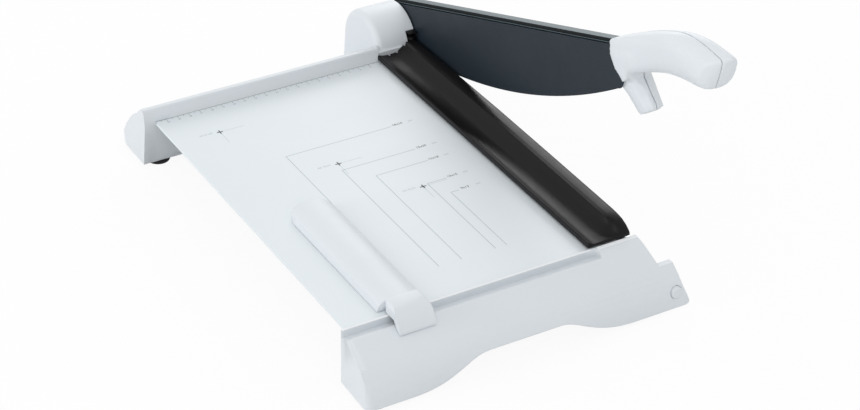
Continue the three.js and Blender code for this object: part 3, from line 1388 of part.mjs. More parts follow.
// Runner that slides in the slot under the head
function stopSlider() {
  const x = stopScrewX();
  const half = SLOT_WIDTH / 2 - RUN;
  const low = slotFloor() + RUN;
  const y = slotMidY();
  const plan = rounded(x - SLIDER_LENGTH / 2, x + SLIDER_LENGTH / 2, y - half, y + half, half / 2);
  return along('z', plan, low, low + SLIDER_HEIGHT).subtract(screwHole('z', 0, TABLE_TOP + OVERRUN, x, y));
}

// Grub screw that ties the runner to the head
function stopScrew() {
  const low = stopScrewLow();
  return rod('z', SCREW_RADIUS, low, low + STOP_SCREW_LENGTH, stopScrewX(), slotMidY(), ROUND_STEPS / 2 + 2);
}
function stopScrewLow() {
  return slotFloor() + RUN * 2;
}

// Frame: everything that stands still
function buildFrame(frame) {
  piece('table_plate', tablePlate(), tableWhite, frame);
  braceShares.forEach((share, i) => {
    const x = -TABLE_WIDTH * share;
    piece(`table_brace_${i + 1}`, tableBrace(x), zinc, frame);
  });
  piece('side_beam', sideBeam(), zinc, frame);
  piece('lower_knife', lowerKnife(), steel, frame);
  knifeScrewPlaces().forEach((y, i) => {
    const body = screw('z', knifeSeat - BEAM_WALL - FIT, 1, KNIFE_SCREW_LENGTH, knifeScrewX(), y);
    piece(`knife_screw_${i + 1}`, body, zinc, frame);
  });
  piece('rear_housing', rearHousing(), white, frame);
  piece('pivot_cover', pivotCover(), white, frame);
  piece('pivot_bracket', pivotBracket(), zinc, frame);
  bracketScrewPlaces().forEach((y, i) => {
    const body = screw('x', bracketLeftX - FIT, 1, BRACKET_THICK + BEAM_WALL, y, bracketScrewZ());
    piece(`bracket_screw_${i + 1}`, body, zinc, frame);
  });
  piece('pivot_bush', pivotBush(), bronze, frame);
  piece('friction_washer', frictionWasher(), rubber, frame);
  piece('disc_spring', discSpring(), steel, frame);
  piece('lock_nut', lockNut(), zinc, frame);
  piece('pivot_bolt', pivotBolt(), steel, frame);
  piece('front_panel', frontPanel(), white, frame);
  piece('panel_plug', panelPlug(), white, frame);
  tongueScrewPlaces().forEach((y) => {
    const body = screw('x', beamLeftX - FIT, 1, BEAM_WALL + WALL * 2, y, tongueScrewZ());
    piece('panel_screw', body, zinc, frame);
  });
  const feet = [
    ['rear_left', rearLeftFootX, REAR_LEFT_FOOT_Y],
    ['rear_right', REAR_RIGHT_FOOT_X, 0],
    ['front_left', frontLeftFootX, frontFootY],
    ['front_right', FRONT_RIGHT_FOOT_X, frontFootY],
  ];
  feet.forEach(([name, x, y]) => {
    piece(`foot_${name}`, foot(x, y), rubber, frame);
  });
}

// Clamp: rises and falls with the arm
function buildClamp(clamp) {
  piece('clamp_bar', clampBar(), black, clamp);
  piece('clamp_strip', clampStrip(), rubber, clamp);
  const names = ['clamp_pin_rear', 'clamp_pin_front'];
  clampPinPlaces().forEach((place, i) => piece(names[i], clampPin(place), steel, clamp));
}

// Arm: turns on the pivot bolt, drawn level and then raised to its rest
function buildArm(arm) {
  piece('blade', bladeSolid(), bladeSteel, arm);
  piece('blade_arm', bladeArm(), castGrey, arm);
  bladeScrewPlaces().forEach((u, i) => piece(`blade_screw_${i + 1}`, bladeScrew(u), zinc, arm));
  piece('pivot_cap', pivotCap(), black, arm);
  const outer = handleBody(0, HANDLE_GRAIN);
  const inner = handleBody(HANDLE_WALL, HANDLE_INNER_GRAIN);
  piece('handle_left', handleHalf(-1, outer, inner), white, arm);
  piece('handle_right', handleHalf(1, outer, inner), white, arm);
  handleScrewPlaces.forEach((u, i) => piece(`handle_screw_${i + 1}`, handleScrew(u), zinc, arm));
  arm.position.set(0, 0, PIVOT_HEIGHT);
  arm.rotation.x = THREE.MathUtils.degToRad(-REST_ANGLE);
}

// Stop: slides along the slot
function buildStop(stop) {
  piece('stop_bar', stopBar(), white, stop);
  piece('stop_head', stopHead(), white, stop);
  piece('stop_slider', stopSlider(), rubber, stop);
  piece('stop_screw', stopScrew(), zinc, stop);
}

// The origin is on the floor in the middle of the rear right foot, under the pivot
const paperCutter = new THREE.Group();
const builders = [buildFrame, buildClamp, buildArm, buildStop];
for (const build of builders) {
  const group = new THREE.Group();
  build(group);
  paperCutter.add(group);
}
paperCutter.position.x = -REAR_RIGHT_FOOT_X;

export default paperCutter;
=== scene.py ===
# Paper cutter: the looks of a lever guillotine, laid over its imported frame.
# Metres, +Z up. The user stands at -Y, and the cut runs along Y at the right.

import json
import math

import bmesh
import bpy
from mathutils import Matrix, Vector

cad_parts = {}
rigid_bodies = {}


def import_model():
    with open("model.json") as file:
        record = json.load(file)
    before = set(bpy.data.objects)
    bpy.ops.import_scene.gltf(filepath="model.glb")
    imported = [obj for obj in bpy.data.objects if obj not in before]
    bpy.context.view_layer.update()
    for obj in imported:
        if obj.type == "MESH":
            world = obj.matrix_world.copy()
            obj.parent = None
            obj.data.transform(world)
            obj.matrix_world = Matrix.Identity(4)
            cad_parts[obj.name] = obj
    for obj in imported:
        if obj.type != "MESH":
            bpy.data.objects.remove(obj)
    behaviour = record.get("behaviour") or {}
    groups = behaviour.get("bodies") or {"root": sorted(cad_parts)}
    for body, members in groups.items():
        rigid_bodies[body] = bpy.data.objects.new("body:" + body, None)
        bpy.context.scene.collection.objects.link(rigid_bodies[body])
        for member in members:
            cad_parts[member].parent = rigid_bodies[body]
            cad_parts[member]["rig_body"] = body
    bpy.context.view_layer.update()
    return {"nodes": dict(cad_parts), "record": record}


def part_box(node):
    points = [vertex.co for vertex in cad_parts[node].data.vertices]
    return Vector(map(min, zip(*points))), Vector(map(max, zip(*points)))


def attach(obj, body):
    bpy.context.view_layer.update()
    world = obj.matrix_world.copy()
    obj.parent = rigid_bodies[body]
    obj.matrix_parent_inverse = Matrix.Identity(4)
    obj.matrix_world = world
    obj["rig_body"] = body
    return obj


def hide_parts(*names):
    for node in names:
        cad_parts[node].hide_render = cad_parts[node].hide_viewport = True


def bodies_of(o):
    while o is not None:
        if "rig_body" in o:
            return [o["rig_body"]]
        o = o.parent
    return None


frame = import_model()
nodes = frame["nodes"]

MM = 0.001

# Camera, as it was found from the printed formats on the table
CAMERA_PLACE = Vector((-887.6, -1603.3, 1071.4)) * MM
CAMERA_AZIMUTH = math.radians(30.416)
CAMERA_ELEVATION = math.radians(33.078)
CAMERA_ROLL = math.radians(0.890)
CAMERA_LENS = 100.0
SENSOR_WIDTH = 36.0

# Places shared with the frame: the arm's pivot and its angle at rest
PIVOT = Vector((20.0, 0.0, 48.1)) * MM
REST_ANGLE = math.radians(20.1)

# The cut, the paper fence and the table's upper side, in millimetres
CUT_X = 20.0
FENCE_Y = -33.0
TABLE_TOP = 50.0

# How near two corners of a node's loose triangles lie when they are one corner
SAME_PLACE = 0.002 * MM

# Colours, linear
WHITE = (0.715, 0.755, 0.79)
# A paler white that paints light onto the top of the rib behind the stop's slot
PAINTED_LIGHT_WHITE = (0.86, 0.88, 0.9)
TABLE = (0.735, 0.785, 0.815)
BLACK = (0.0052, 0.0048, 0.0053)
BLADE = (0.014, 0.022, 0.031)
CAST = (0.097, 0.133, 0.15)
STEEL = (0.46, 0.47, 0.48)
ZINC = (0.40, 0.41, 0.42)
BRONZE = (0.48, 0.32, 0.13)
RUBBER = (0.011, 0.011, 0.012)
LINE_GREY = (0.42, 0.47, 0.50)
TICK_GREY = (0.2, 0.225, 0.24)
# Grey of the painted shade in the gaps along the fence and in the stop's slot
GAP_SHADE_GREY = (0.16, 0.2, 0.22)
MARK_BLACK = (0.02, 0.022, 0.024)

# Grain of the two mouldings' skins (fine noise scale, depth) and of drawn or ground steel (stretch along Y)
FINE_GRAIN = (1500.0, 0.012 * MM)
COARSE_GRAIN = (1100.0, 0.012 * MM)
ALONG_Y = (1.0, 26.0, 1.0)
SHORT_ALONG_Y = (1.0, 6.0, 1.0)
ALONG_Z = (1.0, 1.0, 26.0)
EVEN = (1.0, 1.0, 1.0)


def link(tree, out, into):
    tree.links.new(out, into)


def new_material(name):
    """A new material with its node tree and its shader."""
    material = bpy.data.materials.new(name)
    material.use_nodes = True
    tree = material.node_tree
    shader = tree.nodes["Principled BSDF"]
    return material, tree, shader


def object_coordinates(tree):
    return tree.nodes.new("ShaderNodeTexCoord").outputs["Object"]


def stretched(tree, stretch, turn=0.0):
    """Object coordinates turned about X, then stretched, for a grain with a direction."""
    node = tree.nodes.new("ShaderNodeMapping")
    node.vector_type = "TEXTURE"
    node.inputs["Location"].default_value = PIVOT
    node.inputs["Rotation"].default_value = (turn, 0.0, 0.0)
    node.inputs["Scale"].default_value = stretch
    link(tree, object_coordinates(tree), node.inputs["Vector"])
    return node.outputs["Vector"]


def noise(tree, scale, detail=2.0, roughness=0.5, place=None):
    """Noise over object coordinates, or over another place."""
    node = tree.nodes.new("ShaderNodeTexNoise")
    node.inputs["Scale"].default_value = scale
    node.inputs["Detail"].default_value = detail
    node.inputs["Roughness"].default_value = roughness
    link(tree, place or object_coordinates(tree), node.inputs["Vector"])
    return node.outputs["Fac"]


def spread(tree, value, low, high, value_low=0.0, value_high=1.0):
    """Maps a value's range onto low to high."""
    node = tree.nodes.new("ShaderNodeMapRange")
    node.inputs["From Min"].default_value = value_low
    node.inputs["From Max"].default_value = value_high
    node.inputs["To Min"].default_value = low
    node.inputs["To Max"].default_value = high
    link(tree, value, node.inputs["Value"])
    return node.outputs["Result"]


def combined(tree, operation, first, second):
    """What a Math node makes of two sockets."""
    node = tree.nodes.new("ShaderNodeMath")
    node.operation = operation
    link(tree, first, node.inputs[0])
    link(tree, second, node.inputs[1])
    return node.outputs[0]


def blend_colours(tree, factor, first, second):
    """Blends two colours, each a socket or a constant."""
    node = tree.nodes.new("ShaderNodeMix")
    node.data_type = "RGBA"
    for socket, colour in ((node.inputs[6], first), (node.inputs[7], second)):
        if isinstance(colour, tuple):
            socket.default_value = (*colour, 1.0)
        else:
            link(tree, colour, socket)
    link(tree, factor, node.inputs[0])
    return node.outputs[2]


def bump(tree, height, distance, before=None):
    node = tree.nodes.new("ShaderNodeBump")
    node.inputs["Strength"].default_value = 1.0
    node.inputs["Distance"].default_value = distance
    link(tree, height, node.inputs["Height"])
    if before:
        link(tree, before, node.inputs["Normal"])
    return node.outputs["Normal"]


def rounded_normal(tree, radius):
    """The normal as it would be with edges rounded by a radius."""
    node = tree.nodes.new("ShaderNodeBevel")
    node.samples = 4
    node.inputs["Radius"].default_value = radius
    return node.outputs["Normal"]


def worn_edge(tree, rounded, breadth=0.12):
    """0 on a flat, 1 on an edge, from how far the rounded normal leans from the surface's own."""
    node = tree.nodes.new("ShaderNodeVectorMath")
    node.operation = "DOT_PRODUCT"
    link(tree, rounded, node.inputs[0])
    link(tree, tree.nodes.new("ShaderNodeNewGeometry").outputs["Normal"], node.inputs[1])
    mask = spread(tree, node.outputs["Value"], 0.0, 1.0, 0.995, 0.995 - breadth)
    patches = spread(tree, noise(tree, 420.0, 4.0, 0.6), 0.0, 1.0, 0.38, 0.62)
    return combined(tree, "MULTIPLY", mask, patches)


def scaled(colour, factor):
    return tuple(min(1.0, channel * factor) for channel in colour)


def moulded_plastic(name, colour, roughness, grain, shine, edge_radius, worn):
    """Injection-moulded plastic: a fine spark-eroded grain, and edges rubbed paler."""
    material, tree, shader = new_material(name)
    rounded = rounded_normal(tree, edge_radius)
    body = blend_colours(tree, noise(tree, 14.0, 3.0), scaled(colour, 0.975), scaled(colour, 1.02))
    gloss = spread(tree, noise(tree, 90.0, 4.0), roughness - 0.06, roughness + 0.07)
    grain_scale, grain_depth = grain
    link(tree, blend_colours(tree, worn_edge(tree, rounded), body, worn), shader.inputs["Base Color"])
    link(tree, gloss, shader.inputs["Roughness"])
    shader.inputs["Specular IOR Level"].default_value = shine
    link(tree, bump(tree, noise(tree, grain_scale, 3.0), grain_depth, rounded), shader.inputs["Normal"])
    return material


def coated_sheet(name, colour, roughness):
    """Powder-coated steel: a faint orange peel, and thin paths polished by sliding paper."""
    material, tree, shader = new_material(name)
    rounded = rounded_normal(tree, 0.5 * MM)
    body = blend_colours(tree, noise(tree, 9.0, 3.0), scaled(colour, 0.985), scaled(colour, 1.012))
    rubbed = blend_colours(tree, worn_edge(tree, rounded), body, scaled(colour, 0.9))
    streaks = noise(tree, 60.0, 4.0, 0.6, stretched(tree, (8.0, 1.0, 1.0)))
    link(tree, rubbed, shader.inputs["Base Color"])
    link(tree, spread(tree, streaks, roughness - 0.07, roughness + 0.08), shader.inputs["Roughness"])
    shader.inputs["Specular IOR Level"].default_value = 0.4
    link(tree, bump(tree, noise(tree, 520.0, 2.0), 0.008 * MM, rounded), shader.inputs["Normal"])
    return material


def brushed_metal(name, colour, roughness, metallic, shine, stretch, turn, worn):
    """Rolled or ground steel: hair lines along one direction, and edges worn bright."""
    material, tree, shader = new_material(name)
    rounded = rounded_normal(tree, 0.35 * MM)
    lines = noise(tree, 900.0, 5.0, 0.65, stretched(tree, stretch, turn))
    patches = noise(tree, 22.0, 4.0, 0.6)
    body = blend_colours(tree, lines, scaled(colour, 0.82), scaled(colour, 1.2))
    stained = blend_colours(tree, spread(tree, patches, 0.0, 0.35, 0.45, 0.75), body, scaled(colour, 0.8))
    uneven = combined(tree, "ADD", lines, patches)
    link(tree, blend_colours(tree, worn_edge(tree, rounded), stained, worn), shader.inputs["Base Color"])
    link(tree, spread(tree, uneven, roughness - 0.1, roughness + 0.1, 0.4, 1.6), shader.inputs["Roughness"])
    shader.inputs["Metallic"].default_value = metallic
    shader.inputs["Specular IOR Level"].default_value = shine
    link(tree, bump(tree, lines, 0.004 * MM, rounded), shader.inputs["Normal"])
    return material


def painted_casting(name, colour, roughness, worn):
    """Die-cast metal under thin paint: a pebbled skin, and edges rubbed through."""
    material, tree, shader = new_material(name)
    rounded = rounded_normal(tree, 0.5 * MM)
    pebbles = noise(tree, 700.0, 3.0, 0.55)
    body = blend_colours(tree, noise(tree, 30.0, 4.0), scaled(colour, 0.93), scaled(colour, 1.07))
    link(tree, blend_colours(tree, worn_edge(tree, rounded), body, worn), shader.inputs["Base Color"])
    link(tree, spread(tree, pebbles, roughness - 0.08, roughness + 0.08), shader.inputs["Roughness"])
    shader.inputs["Specular IOR Level"].default_value = 0.35
    link(tree, bump(tree, pebbles, 0.03 * MM, rounded), shader.inputs["Normal"])
    return material


def soft_rubber(name, colour):
    """Moulded rubber: matt, with dust in its grain."""
    material, tree, shader = new_material(name)
    dust = spread(tree, noise(tree, 240.0, 5.0, 0.7), 0.0, 0.5, 0.5, 0.8)
    body = blend_colours(tree, noise(tree, 40.0, 3.0), scaled(colour, 0.8), scaled(colour, 1.25))
    link(tree, blend_colours(tree, dust, body, scaled(colour, 4.0)), shader.inputs["Base Color"])
    link(tree, spread(tree, noise(tree, 160.0, 3.0), 0.72, 0.9), shader.inputs["Roughness"])
    shader.inputs["Specular IOR Level"].default_value = 0.3
    link(tree, bump(tree, noise(tree, 1200.0, 3.0), 0.03 * MM), shader.inputs["Normal"])
    return material


def printed_ink(name, colour):
    """Screen-printed ink: a little uneven, as its screen leaves it."""
    material, tree, shader = new_material(name)
    body = blend_colours(tree, noise(tree, 900.0, 3.0), scaled(colour, 0.88), scaled(colour, 1.1))
    link(tree, body, shader.inputs["Base Color"])
    link(tree, spread(tree, noise(tree, 300.0, 2.0), 0.45, 0.6), shader.inputs["Roughness"])
    shader.inputs["Specular IOR Level"].default_value = 0.3
    return material


def make_materials():
    """One material for each slot of the record."""
    return {
        "white_plastic": moulded_plastic(
            "white_plastic", WHITE, 0.46, FINE_GRAIN, 0.4, 0.6 * MM, scaled(WHITE, 1.05)),
        "table_coat": coated_sheet("table_coat", TABLE, 0.42),
        "black_plastic": moulded_plastic(
            "black_plastic", BLACK, 0.34, COARSE_GRAIN, 0.16, 0.4 * MM, scaled(BLACK, 2.5)),
        "dark_steel": brushed_metal(
            "dark_steel", BLADE, 0.45, 0.0, 0.22, ALONG_Y, REST_ANGLE, scaled(BLADE, 4.0)),
        "cast_arm": painted_casting("cast_arm", CAST, 0.5, scaled(CAST, 1.6)),
        "ground_steel": brushed_metal(
            "ground_steel", STEEL, 0.3, 1.0, 0.5, ALONG_Y, 0.0, scaled(STEEL, 1.4)),
        "zinc": brushed_metal("zinc", ZINC, 0.42, 0.85, 0.5, SHORT_ALONG_Y, 0.0, scaled(ZINC, 1.5)),
        "bronze": brushed_metal("bronze", BRONZE, 0.38, 1.0, 0.5, EVEN, 0.0, scaled(BRONZE, 1.3)),
        "rubber": soft_rubber("rubber", RUBBER),
    }


MATERIALS = make_materials()
# Painted light: the paler white for the top of the rib behind the stop's slot
RIB_PAINTED_LIGHT = moulded_plastic("rib_painted_light", PAINTED_LIGHT_WHITE, 0.5, FINE_GRAIN, 0.4, 0.3 * MM, PAINTED_LIGHT_WHITE)
# Painted shade: a near-black band on the arm's upper side, along the top of the blade
ARM_PAINTED_SHADE = moulded_plastic(
    "arm_shade", scaled(CAST, 0.08), 0.85, FINE_GRAIN, 0.05, 0.3 * MM, scaled(CAST, 0.1))
GROUND_EDGE = brushed_metal(
    "ground_edge", STEEL, 0.28, 1.0, 0.5, ALONG_Z, REST_ANGLE, scaled(STEEL, 1.4))
LINE_INK = printed_ink("line_ink", LINE_GREY)
TICK_INK = printed_ink("tick_ink", TICK_GREY)
# Painted shade: the dark strips in the gap along the fence and low in the stop's slot
GAP_SHADE = printed_ink("gap_shadow", GAP_SHADE_GREY)
MARK_INK = printed_ink("mark_ink", MARK_BLACK)


def slot_of(node):
    """The record's material slot for a node."""
    for entry in frame["record"]["subparts"]:
        if entry["node"] == node:
            return entry["material_slot"]
    return None


def body_of(node):
    """The name of the body that a node rides on."""
    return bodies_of(nodes[node])[0]


def finish_nodes():
    """Gives every node of the frame the material of its slot."""
    for name, piece in nodes.items():
        piece.data.materials.clear()
        piece.data.materials.append(MATERIALS[slot_of(name)])


def mesh_of(form, name):
    """Turns a bmesh into a mesh and lets go of it."""
    mesh = bpy.data.meshes.new(name)
    form.to_mesh(mesh)
    form.free()
    return mesh


def placed(name, data):
    """A new object in the scene."""
    made = bpy.data.objects.new(name, data)
    bpy.context.scene.collection.objects.link(made)
    return made


def worked_mesh(piece):
    """A piece's mesh as its modifiers leave it."""
    return bpy.data.meshes.new_from_object(piece.evaluated_get(bpy.context.evaluated_depsgraph_get()))


def add_piece(form, name, body, materials, smooth_angle=35.0):
    """A new piece that rides on a body. Edges sharper than the angle in degrees stay sharp."""
    mesh = mesh_of(form, name)
    for material in materials:
        mesh.materials.append(material)
    mesh.shade_smooth()
    mesh.set_sharp_from_angle(angle=math.radians(smooth_angle))
    piece = placed(name, mesh)
    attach(piece, body)
    return piece


def add_block(form, size, place):
    """A block, from its size and its centre in millimetres."""
    made = bmesh.ops.create_cube(form, size=1.0)["verts"]
    bmesh.ops.scale(form, verts=made, vec=Vector(size) * MM)
    bmesh.ops.translate(form, verts=made, vec=Vector(place) * MM)


def bisect(form, axis, place):
    """Cuts every face that crosses one plane, without parting the form."""
    point, direction = [0.0, 0.0, 0.0], [0.0, 0.0, 0.0]
    point[axis] = place
    direction[axis] = 1.0
    geometry = form.verts[:] + form.edges[:] + form.faces[:]
    bmesh.ops.bisect_plane(form, geom=geometry, dist=0.01 * MM, plane_co=point, plane_no=direction)


def cut_across(form, axis, spacing):
    """Cuts long faces into short ones, so that the shading of a curve runs evenly along it."""
    places = [vert.co[axis] for vert in form.verts]
    last_cut = max(places) - 0.3 * spacing
    place = min(places) + spacing
    while place < last_cut:
        bisect(form, axis, place)
        place += spacing


def merged_copy(node, flat_angle=0.5):
    """A node's mesh with its loose triangles joined and its flat faces made whole."""
    form = bmesh.new()
    form.from_mesh(nodes[node].data)
    bmesh.ops.remove_doubles(form, verts=form.verts, dist=SAME_PLACE)
    if flat_angle:
        limit = math.radians(flat_angle)
        bmesh.ops.dissolve_limit(form, angle_limit=limit, verts=form.verts, edges=form.edges)
    return form


def dress(node, name, smooth_angle=38.0, axis=None, spacing=10.0 * MM):
    """Stands a smooth-shaded copy in for a node, cut into short lengths along an axis where one is given."""
    form = merged_copy(node)
    if axis is not None:
        cut_across(form, axis, spacing)
    piece = add_piece(form, name, body_of(node), [MATERIALS[slot_of(node)]], smooth_angle)
    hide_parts(node)


# The table's left rim, in millimetres: what lies left of RIM_RIGHT and under RIM_TOP is raised to RIM_FOOT
RIM_RIGHT = -226.0
RIM_TOP = 48.0
RIM_FOOT = 48.1


def dress_table():
    """The folded sheet, whose left rim is turned in close under the edge, as it shows from the front."""
    form = merged_copy("table_plate")
    for vert in form.verts:
        if vert.co.x < RIM_RIGHT * MM and vert.co.z < RIM_TOP * MM:
            vert.co.z = RIM_FOOT * MM
    bmesh.ops.remove_doubles(form, verts=form.verts, dist=SAME_PLACE)
    piece = add_piece(form, "coated_table", "frame", [MATERIALS["table_coat"]])
    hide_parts("table_plate")


# The rib between the table and the stop's slot: its right end, front, rear and foot, in millimetres
RIB_RIGHT = 24.0
RIB_FRONT = -366.5
RIB_REAR = -358.0
RIB_FOOT = 49.0


def dress_front():
    """The front moulding. The top of the rib behind the stop's slot is given a paler white, as painted
    light.
    """
    form = merged_copy("front_panel")
    bmesh.ops.dissolve_degenerate(form, dist=0.02 * MM, edges=form.edges)
    cut_across(form, 0, 6.0 * MM)
    for face in form.faces:
        middle = face.calc_center_median() / MM
        over_rib = middle.x < RIB_RIGHT and RIB_FRONT < middle.y < RIB_REAR and middle.z > RIB_FOOT
        # Painted light: the rib's upward faces take the paler white
        face.material_index = 1 if over_rib and face.normal.z > 0.3 else 0
    piece = add_piece(form, "front_moulding", "frame", [MATERIALS["white_plastic"], RIB_PAINTED_LIGHT], 38.0)
    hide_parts("front_panel")


# The clamp's lug, its rounding, and the plates of the drum's mouth as sizes and centres, in millimetres
LUG_SIZE = (7.4, 9.0, 12.0)
LUG_PLACE = (15.1, -28.2, 58.4)
LUG_ROUNDING = 3.2
MOUTH_PLATES = (((7.8, 9.6, 0.4), (15.0, -28.0, 68.1)), ((7.8, 0.35, 17.6), (15.0, -23.1, 59.5)))


def add_clamp_lug():
    """The rounded lug at the clamp's rear right, which fills the mouth of the drum moulding."""
    form = bmesh.new()
    add_block(form, LUG_SIZE, LUG_PLACE)
    middle = LUG_PLACE[2] * MM
    rounded = [edge for edge in form.edges if any(vert.co.z > middle for vert in edge.verts)]
    bmesh.ops.bevel(form, geom=rounded, offset=LUG_ROUNDING * MM, offset_type="OFFSET", affect="EDGES",
                    segments=6, profile=0.5, clamp_overlap=True, material=-1)
    piece = add_piece(form, "clamp_lug", "clamp", [MATERIALS["black_plastic"]], 50.0)


def add_mouth_liner():
    """Thin dark plates that close the drum moulding's mouth above and behind the lug."""
    form = bmesh.new()
    for size, place in MOUTH_PLATES:
        add_block(form, size, place)
    piece = add_piece(form, "mouth_liner", "frame", [MATERIALS["black_plastic"]], 30.0)


SCREW_NODES = (
    "blade_screw_1", "blade_screw_2", "blade_screw_3", "blade_screw_4", "handle_screw_1", "handle_screw_2",
    "panel_screw", "knife_screw_1", "knife_screw_2", "knife_screw_3", "knife_screw_4",
)


# A screw's hexagon socket, and how near a screw's end its head's rim is looked for
SOCKET_RADIUS = 1.5 * MM
SOCKET_DEPTH = 2.6 * MM
HEAD_RIM = 0.3 * MM


def head_end(node, axis, middle):
    """Where along its axis a screw's head ends: the end whose rim lies further from the axis."""
    low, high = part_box(node)
    reach = []
    for end in (low[axis], high[axis]):
        rim = [vert.co - middle for vert in nodes[node].data.vertices if abs(vert.co[axis] - end) < HEAD_RIM]
        reach.append(max(math.hypot(*[side[k] for k in range(3) if k != axis]) for side in rim))
    return low[axis] if reach[0] > reach[1] else high[axis]


def dress_screw(node):
    """A screw with a hexagon socket sunk in its head."""
    low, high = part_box(node)
    middle = (low + high) / 2
    axis = max(range(3), key=lambda k: high[k] - low[k])
    form = merged_copy(node)
    bolt = add_piece(form, node + "_socket", body_of(node), [MATERIALS["zinc"]], 30.0)
    cutter = bmesh.new()
    bmesh.ops.create_cone(
        cutter, cap_ends=True, segments=6, radius1=SOCKET_RADIUS, radius2=SOCKET_RADIUS, depth=SOCKET_DEPTH)
    if axis == 0:
        bmesh.ops.rotate(cutter, verts=cutter.verts, matrix=Matrix.Rotation(math.pi / 2, 3, "Y"))
    middle[axis] = head_end(node, axis, middle)
    bmesh.ops.translate(cutter, verts=cutter.verts, vec=middle)
    tool = placed("socket_cutter", mesh_of(cutter, "socket_cutter"))
    cut = bolt.modifiers.new("socket", "BOOLEAN")
    cut.operation = "DIFFERENCE"
    cut.solver = "EXACT"
    cut.object = tool
    cut_mesh = worked_mesh(bolt)
    bolt.modifiers.clear()
    bolt.data = cut_mesh
    bpy.data.objects.remove(tool)
    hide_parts(node)


FOOT_NODES = ("foot_rear_left", "foot_rear_right", "foot_front_left", "foot_front_right")

# Section of a push-in rubber foot from its axis outwards: radius and height, in millimetres
FOOT_SECTION = (
    (0.0, 0.7), (2.4, 0.7), (2.8, 0.1), (4.2, 0.1), (4.6, 0.7), (5.8, 0.7), (6.2, 0.1),
    (7.4, 0.1), (7.8, 0.7), (8.6, 0.7), (9.0, 0.0), (9.5, 0.2), (9.9, 0.9), (10.0, 1.6),
    (9.8, 3.4), (9.3, 3.9), (8.6, 4.0), (3.0, 4.0), (3.0, 12.4), (2.4, 13.0), (0.0, 13.0),
)


def dress_foot(node):
    """A rubber foot with tread rings and a push-in stem, spun from its section."""
    low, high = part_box(node)
    middle = (low + high) / 2
    form = bmesh.new()
    ring = [form.verts.new(Vector((middle.x + radius * MM, middle.y, height * MM)))
            for radius, height in FOOT_SECTION]
    edges = [form.edges.new(pair) for pair in zip(ring, ring[1:])]
    bmesh.ops.spin(form, geom=ring + edges, cent=(middle.x, middle.y, 0.0), axis=(0.0, 0.0, 1.0),
                   angle=math.tau, steps=40, use_merge=True, use_duplicate=False)
    bmesh.ops.remove_doubles(form, verts=form.verts, dist=0.01 * MM)
    bmesh.ops.recalc_face_normals(form, faces=form.faces)
    piece = add_piece(form, node + "_tread", "frame", [MATERIALS["rubber"]], 30.0)
    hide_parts(node)


def dress_mouldings():
    """The parts whose solids need little more than their curves shaded smoothly."""
    dress("rear_housing", "rear_moulding", axis=0)
    dress("pivot_cover", "drum_moulding")
    dress("panel_plug", "panel_plug_disc")
    dress("stop_bar", "paper_stop_bar", axis=1)
    dress("stop_head", "paper_stop_head")
    dress("clamp_bar", "clamp_gutter", smooth_angle=17.0, axis=1)
    dress_arm()
    dress("side_beam", "side_channel")


# Where the painted shade on the arm's upper side, a dark band along the blade, ends
PAINTED_SHADE_RIGHT = 24.7 * MM


def dress_arm():
    """The cast arm. Along the blade, its upper side carries a dark band of painted shade."""
    form = merged_copy("blade_arm")
    bisect(form, 0, PAINTED_SHADE_RIGHT)
    form.normal_update()
    for face in form.faces:
        dark = face.calc_center_median().x < PAINTED_SHADE_RIGHT and face.normal.z > 0.6
        face.material_index = 1 if dark else 0
    piece = add_piece(form, "cast_blade_arm", "arm", [MATERIALS["cast_arm"], ARM_PAINTED_SHADE], 38.0)
    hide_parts("blade_arm")


# How far to the right the faces of the blade's grind look, from least to most
GRIND_LEAST = 0.12
GRIND_MOST = 0.985


def dress_blade():
    """The curved knife. Its grind is bright: the faces that lean to the right and face down."""
    form = merged_copy("blade")
    for face in form.faces:
        ground = GRIND_LEAST < face.normal.x < GRIND_MOST and face.normal.z < 0.0
        face.material_index = 1 if ground else 0
    piece = add_piece(form, "curved_knife", "arm", [MATERIALS["dark_steel"], GROUND_EDGE], 20.0)
    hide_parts("blade")


def arm_point(x, along, above):
    """A place on the raised arm: millimetres across, along the arm from its pivot, and above it."""
    lift, reach = math.sin(REST_ANGLE), math.cos(REST_ANGLE)
    return Vector((x, lift * above - reach * along, PIVOT.z / MM + lift * along + reach * above)) * MM


def add_hull(form, corners):
    """A solid block round a few corners, which the remesh then joins to the shell."""
    verts = [form.verts.new(arm_point(*corner)) for corner in corners]
    made = bmesh.ops.convex_hull(form, input=verts)["geom"]
    faces = [item for item in made if isinstance(item, bmesh.types.BMFace)]
    bmesh.ops.recalc_face_normals(form, faces=faces)


# Where the grip's cheek runs down into its leg, as corners across, along and above the arm, in millimetres.
# The cheek stays above the front moulding when the arm is down, and the leg stays right of it.
CHEEK = (
    (18.0, 357.5, 12.5), (18.2, 371.0, 12.5), (18.0, 364.0, 2.7), (18.8, 369.4, 5.6),
    (24.0, 364.0, 10.0), (30.0, 352.0, 5.0), (30.0, 369.0, 5.0),
)
CHEEK_CORNER = (
    (20.7, 360.0, 5.0), (20.7, 359.9, 1.0), (21.2, 358.3, -2.6), (23.2, 360.6, -7.1),
    (26.8, 363.8, -12.0), (26.8, 363.8, 5.0), (26.8, 355.0, -8.8), (26.8, 350.0, 5.0),
)
LEG_LEFT_SIDE = (
    (21.6, 358.6, 5.2), (24.2, 354.2, -1.8), (26.8, 355.0, -8.8), (26.8, 362.6, -17.2),
    (27.0, 369.4, -24.3), (27.5, 378.0, -21.0), (28.9, 363.6, -23.8), (25.2, 366.5, 4.6),
    (34.2, 380.8, -20.6), (34.2, 377.6, -10.0), (34.2, 370.5, 3.0), (34.2, 354.0, 5.2),
)
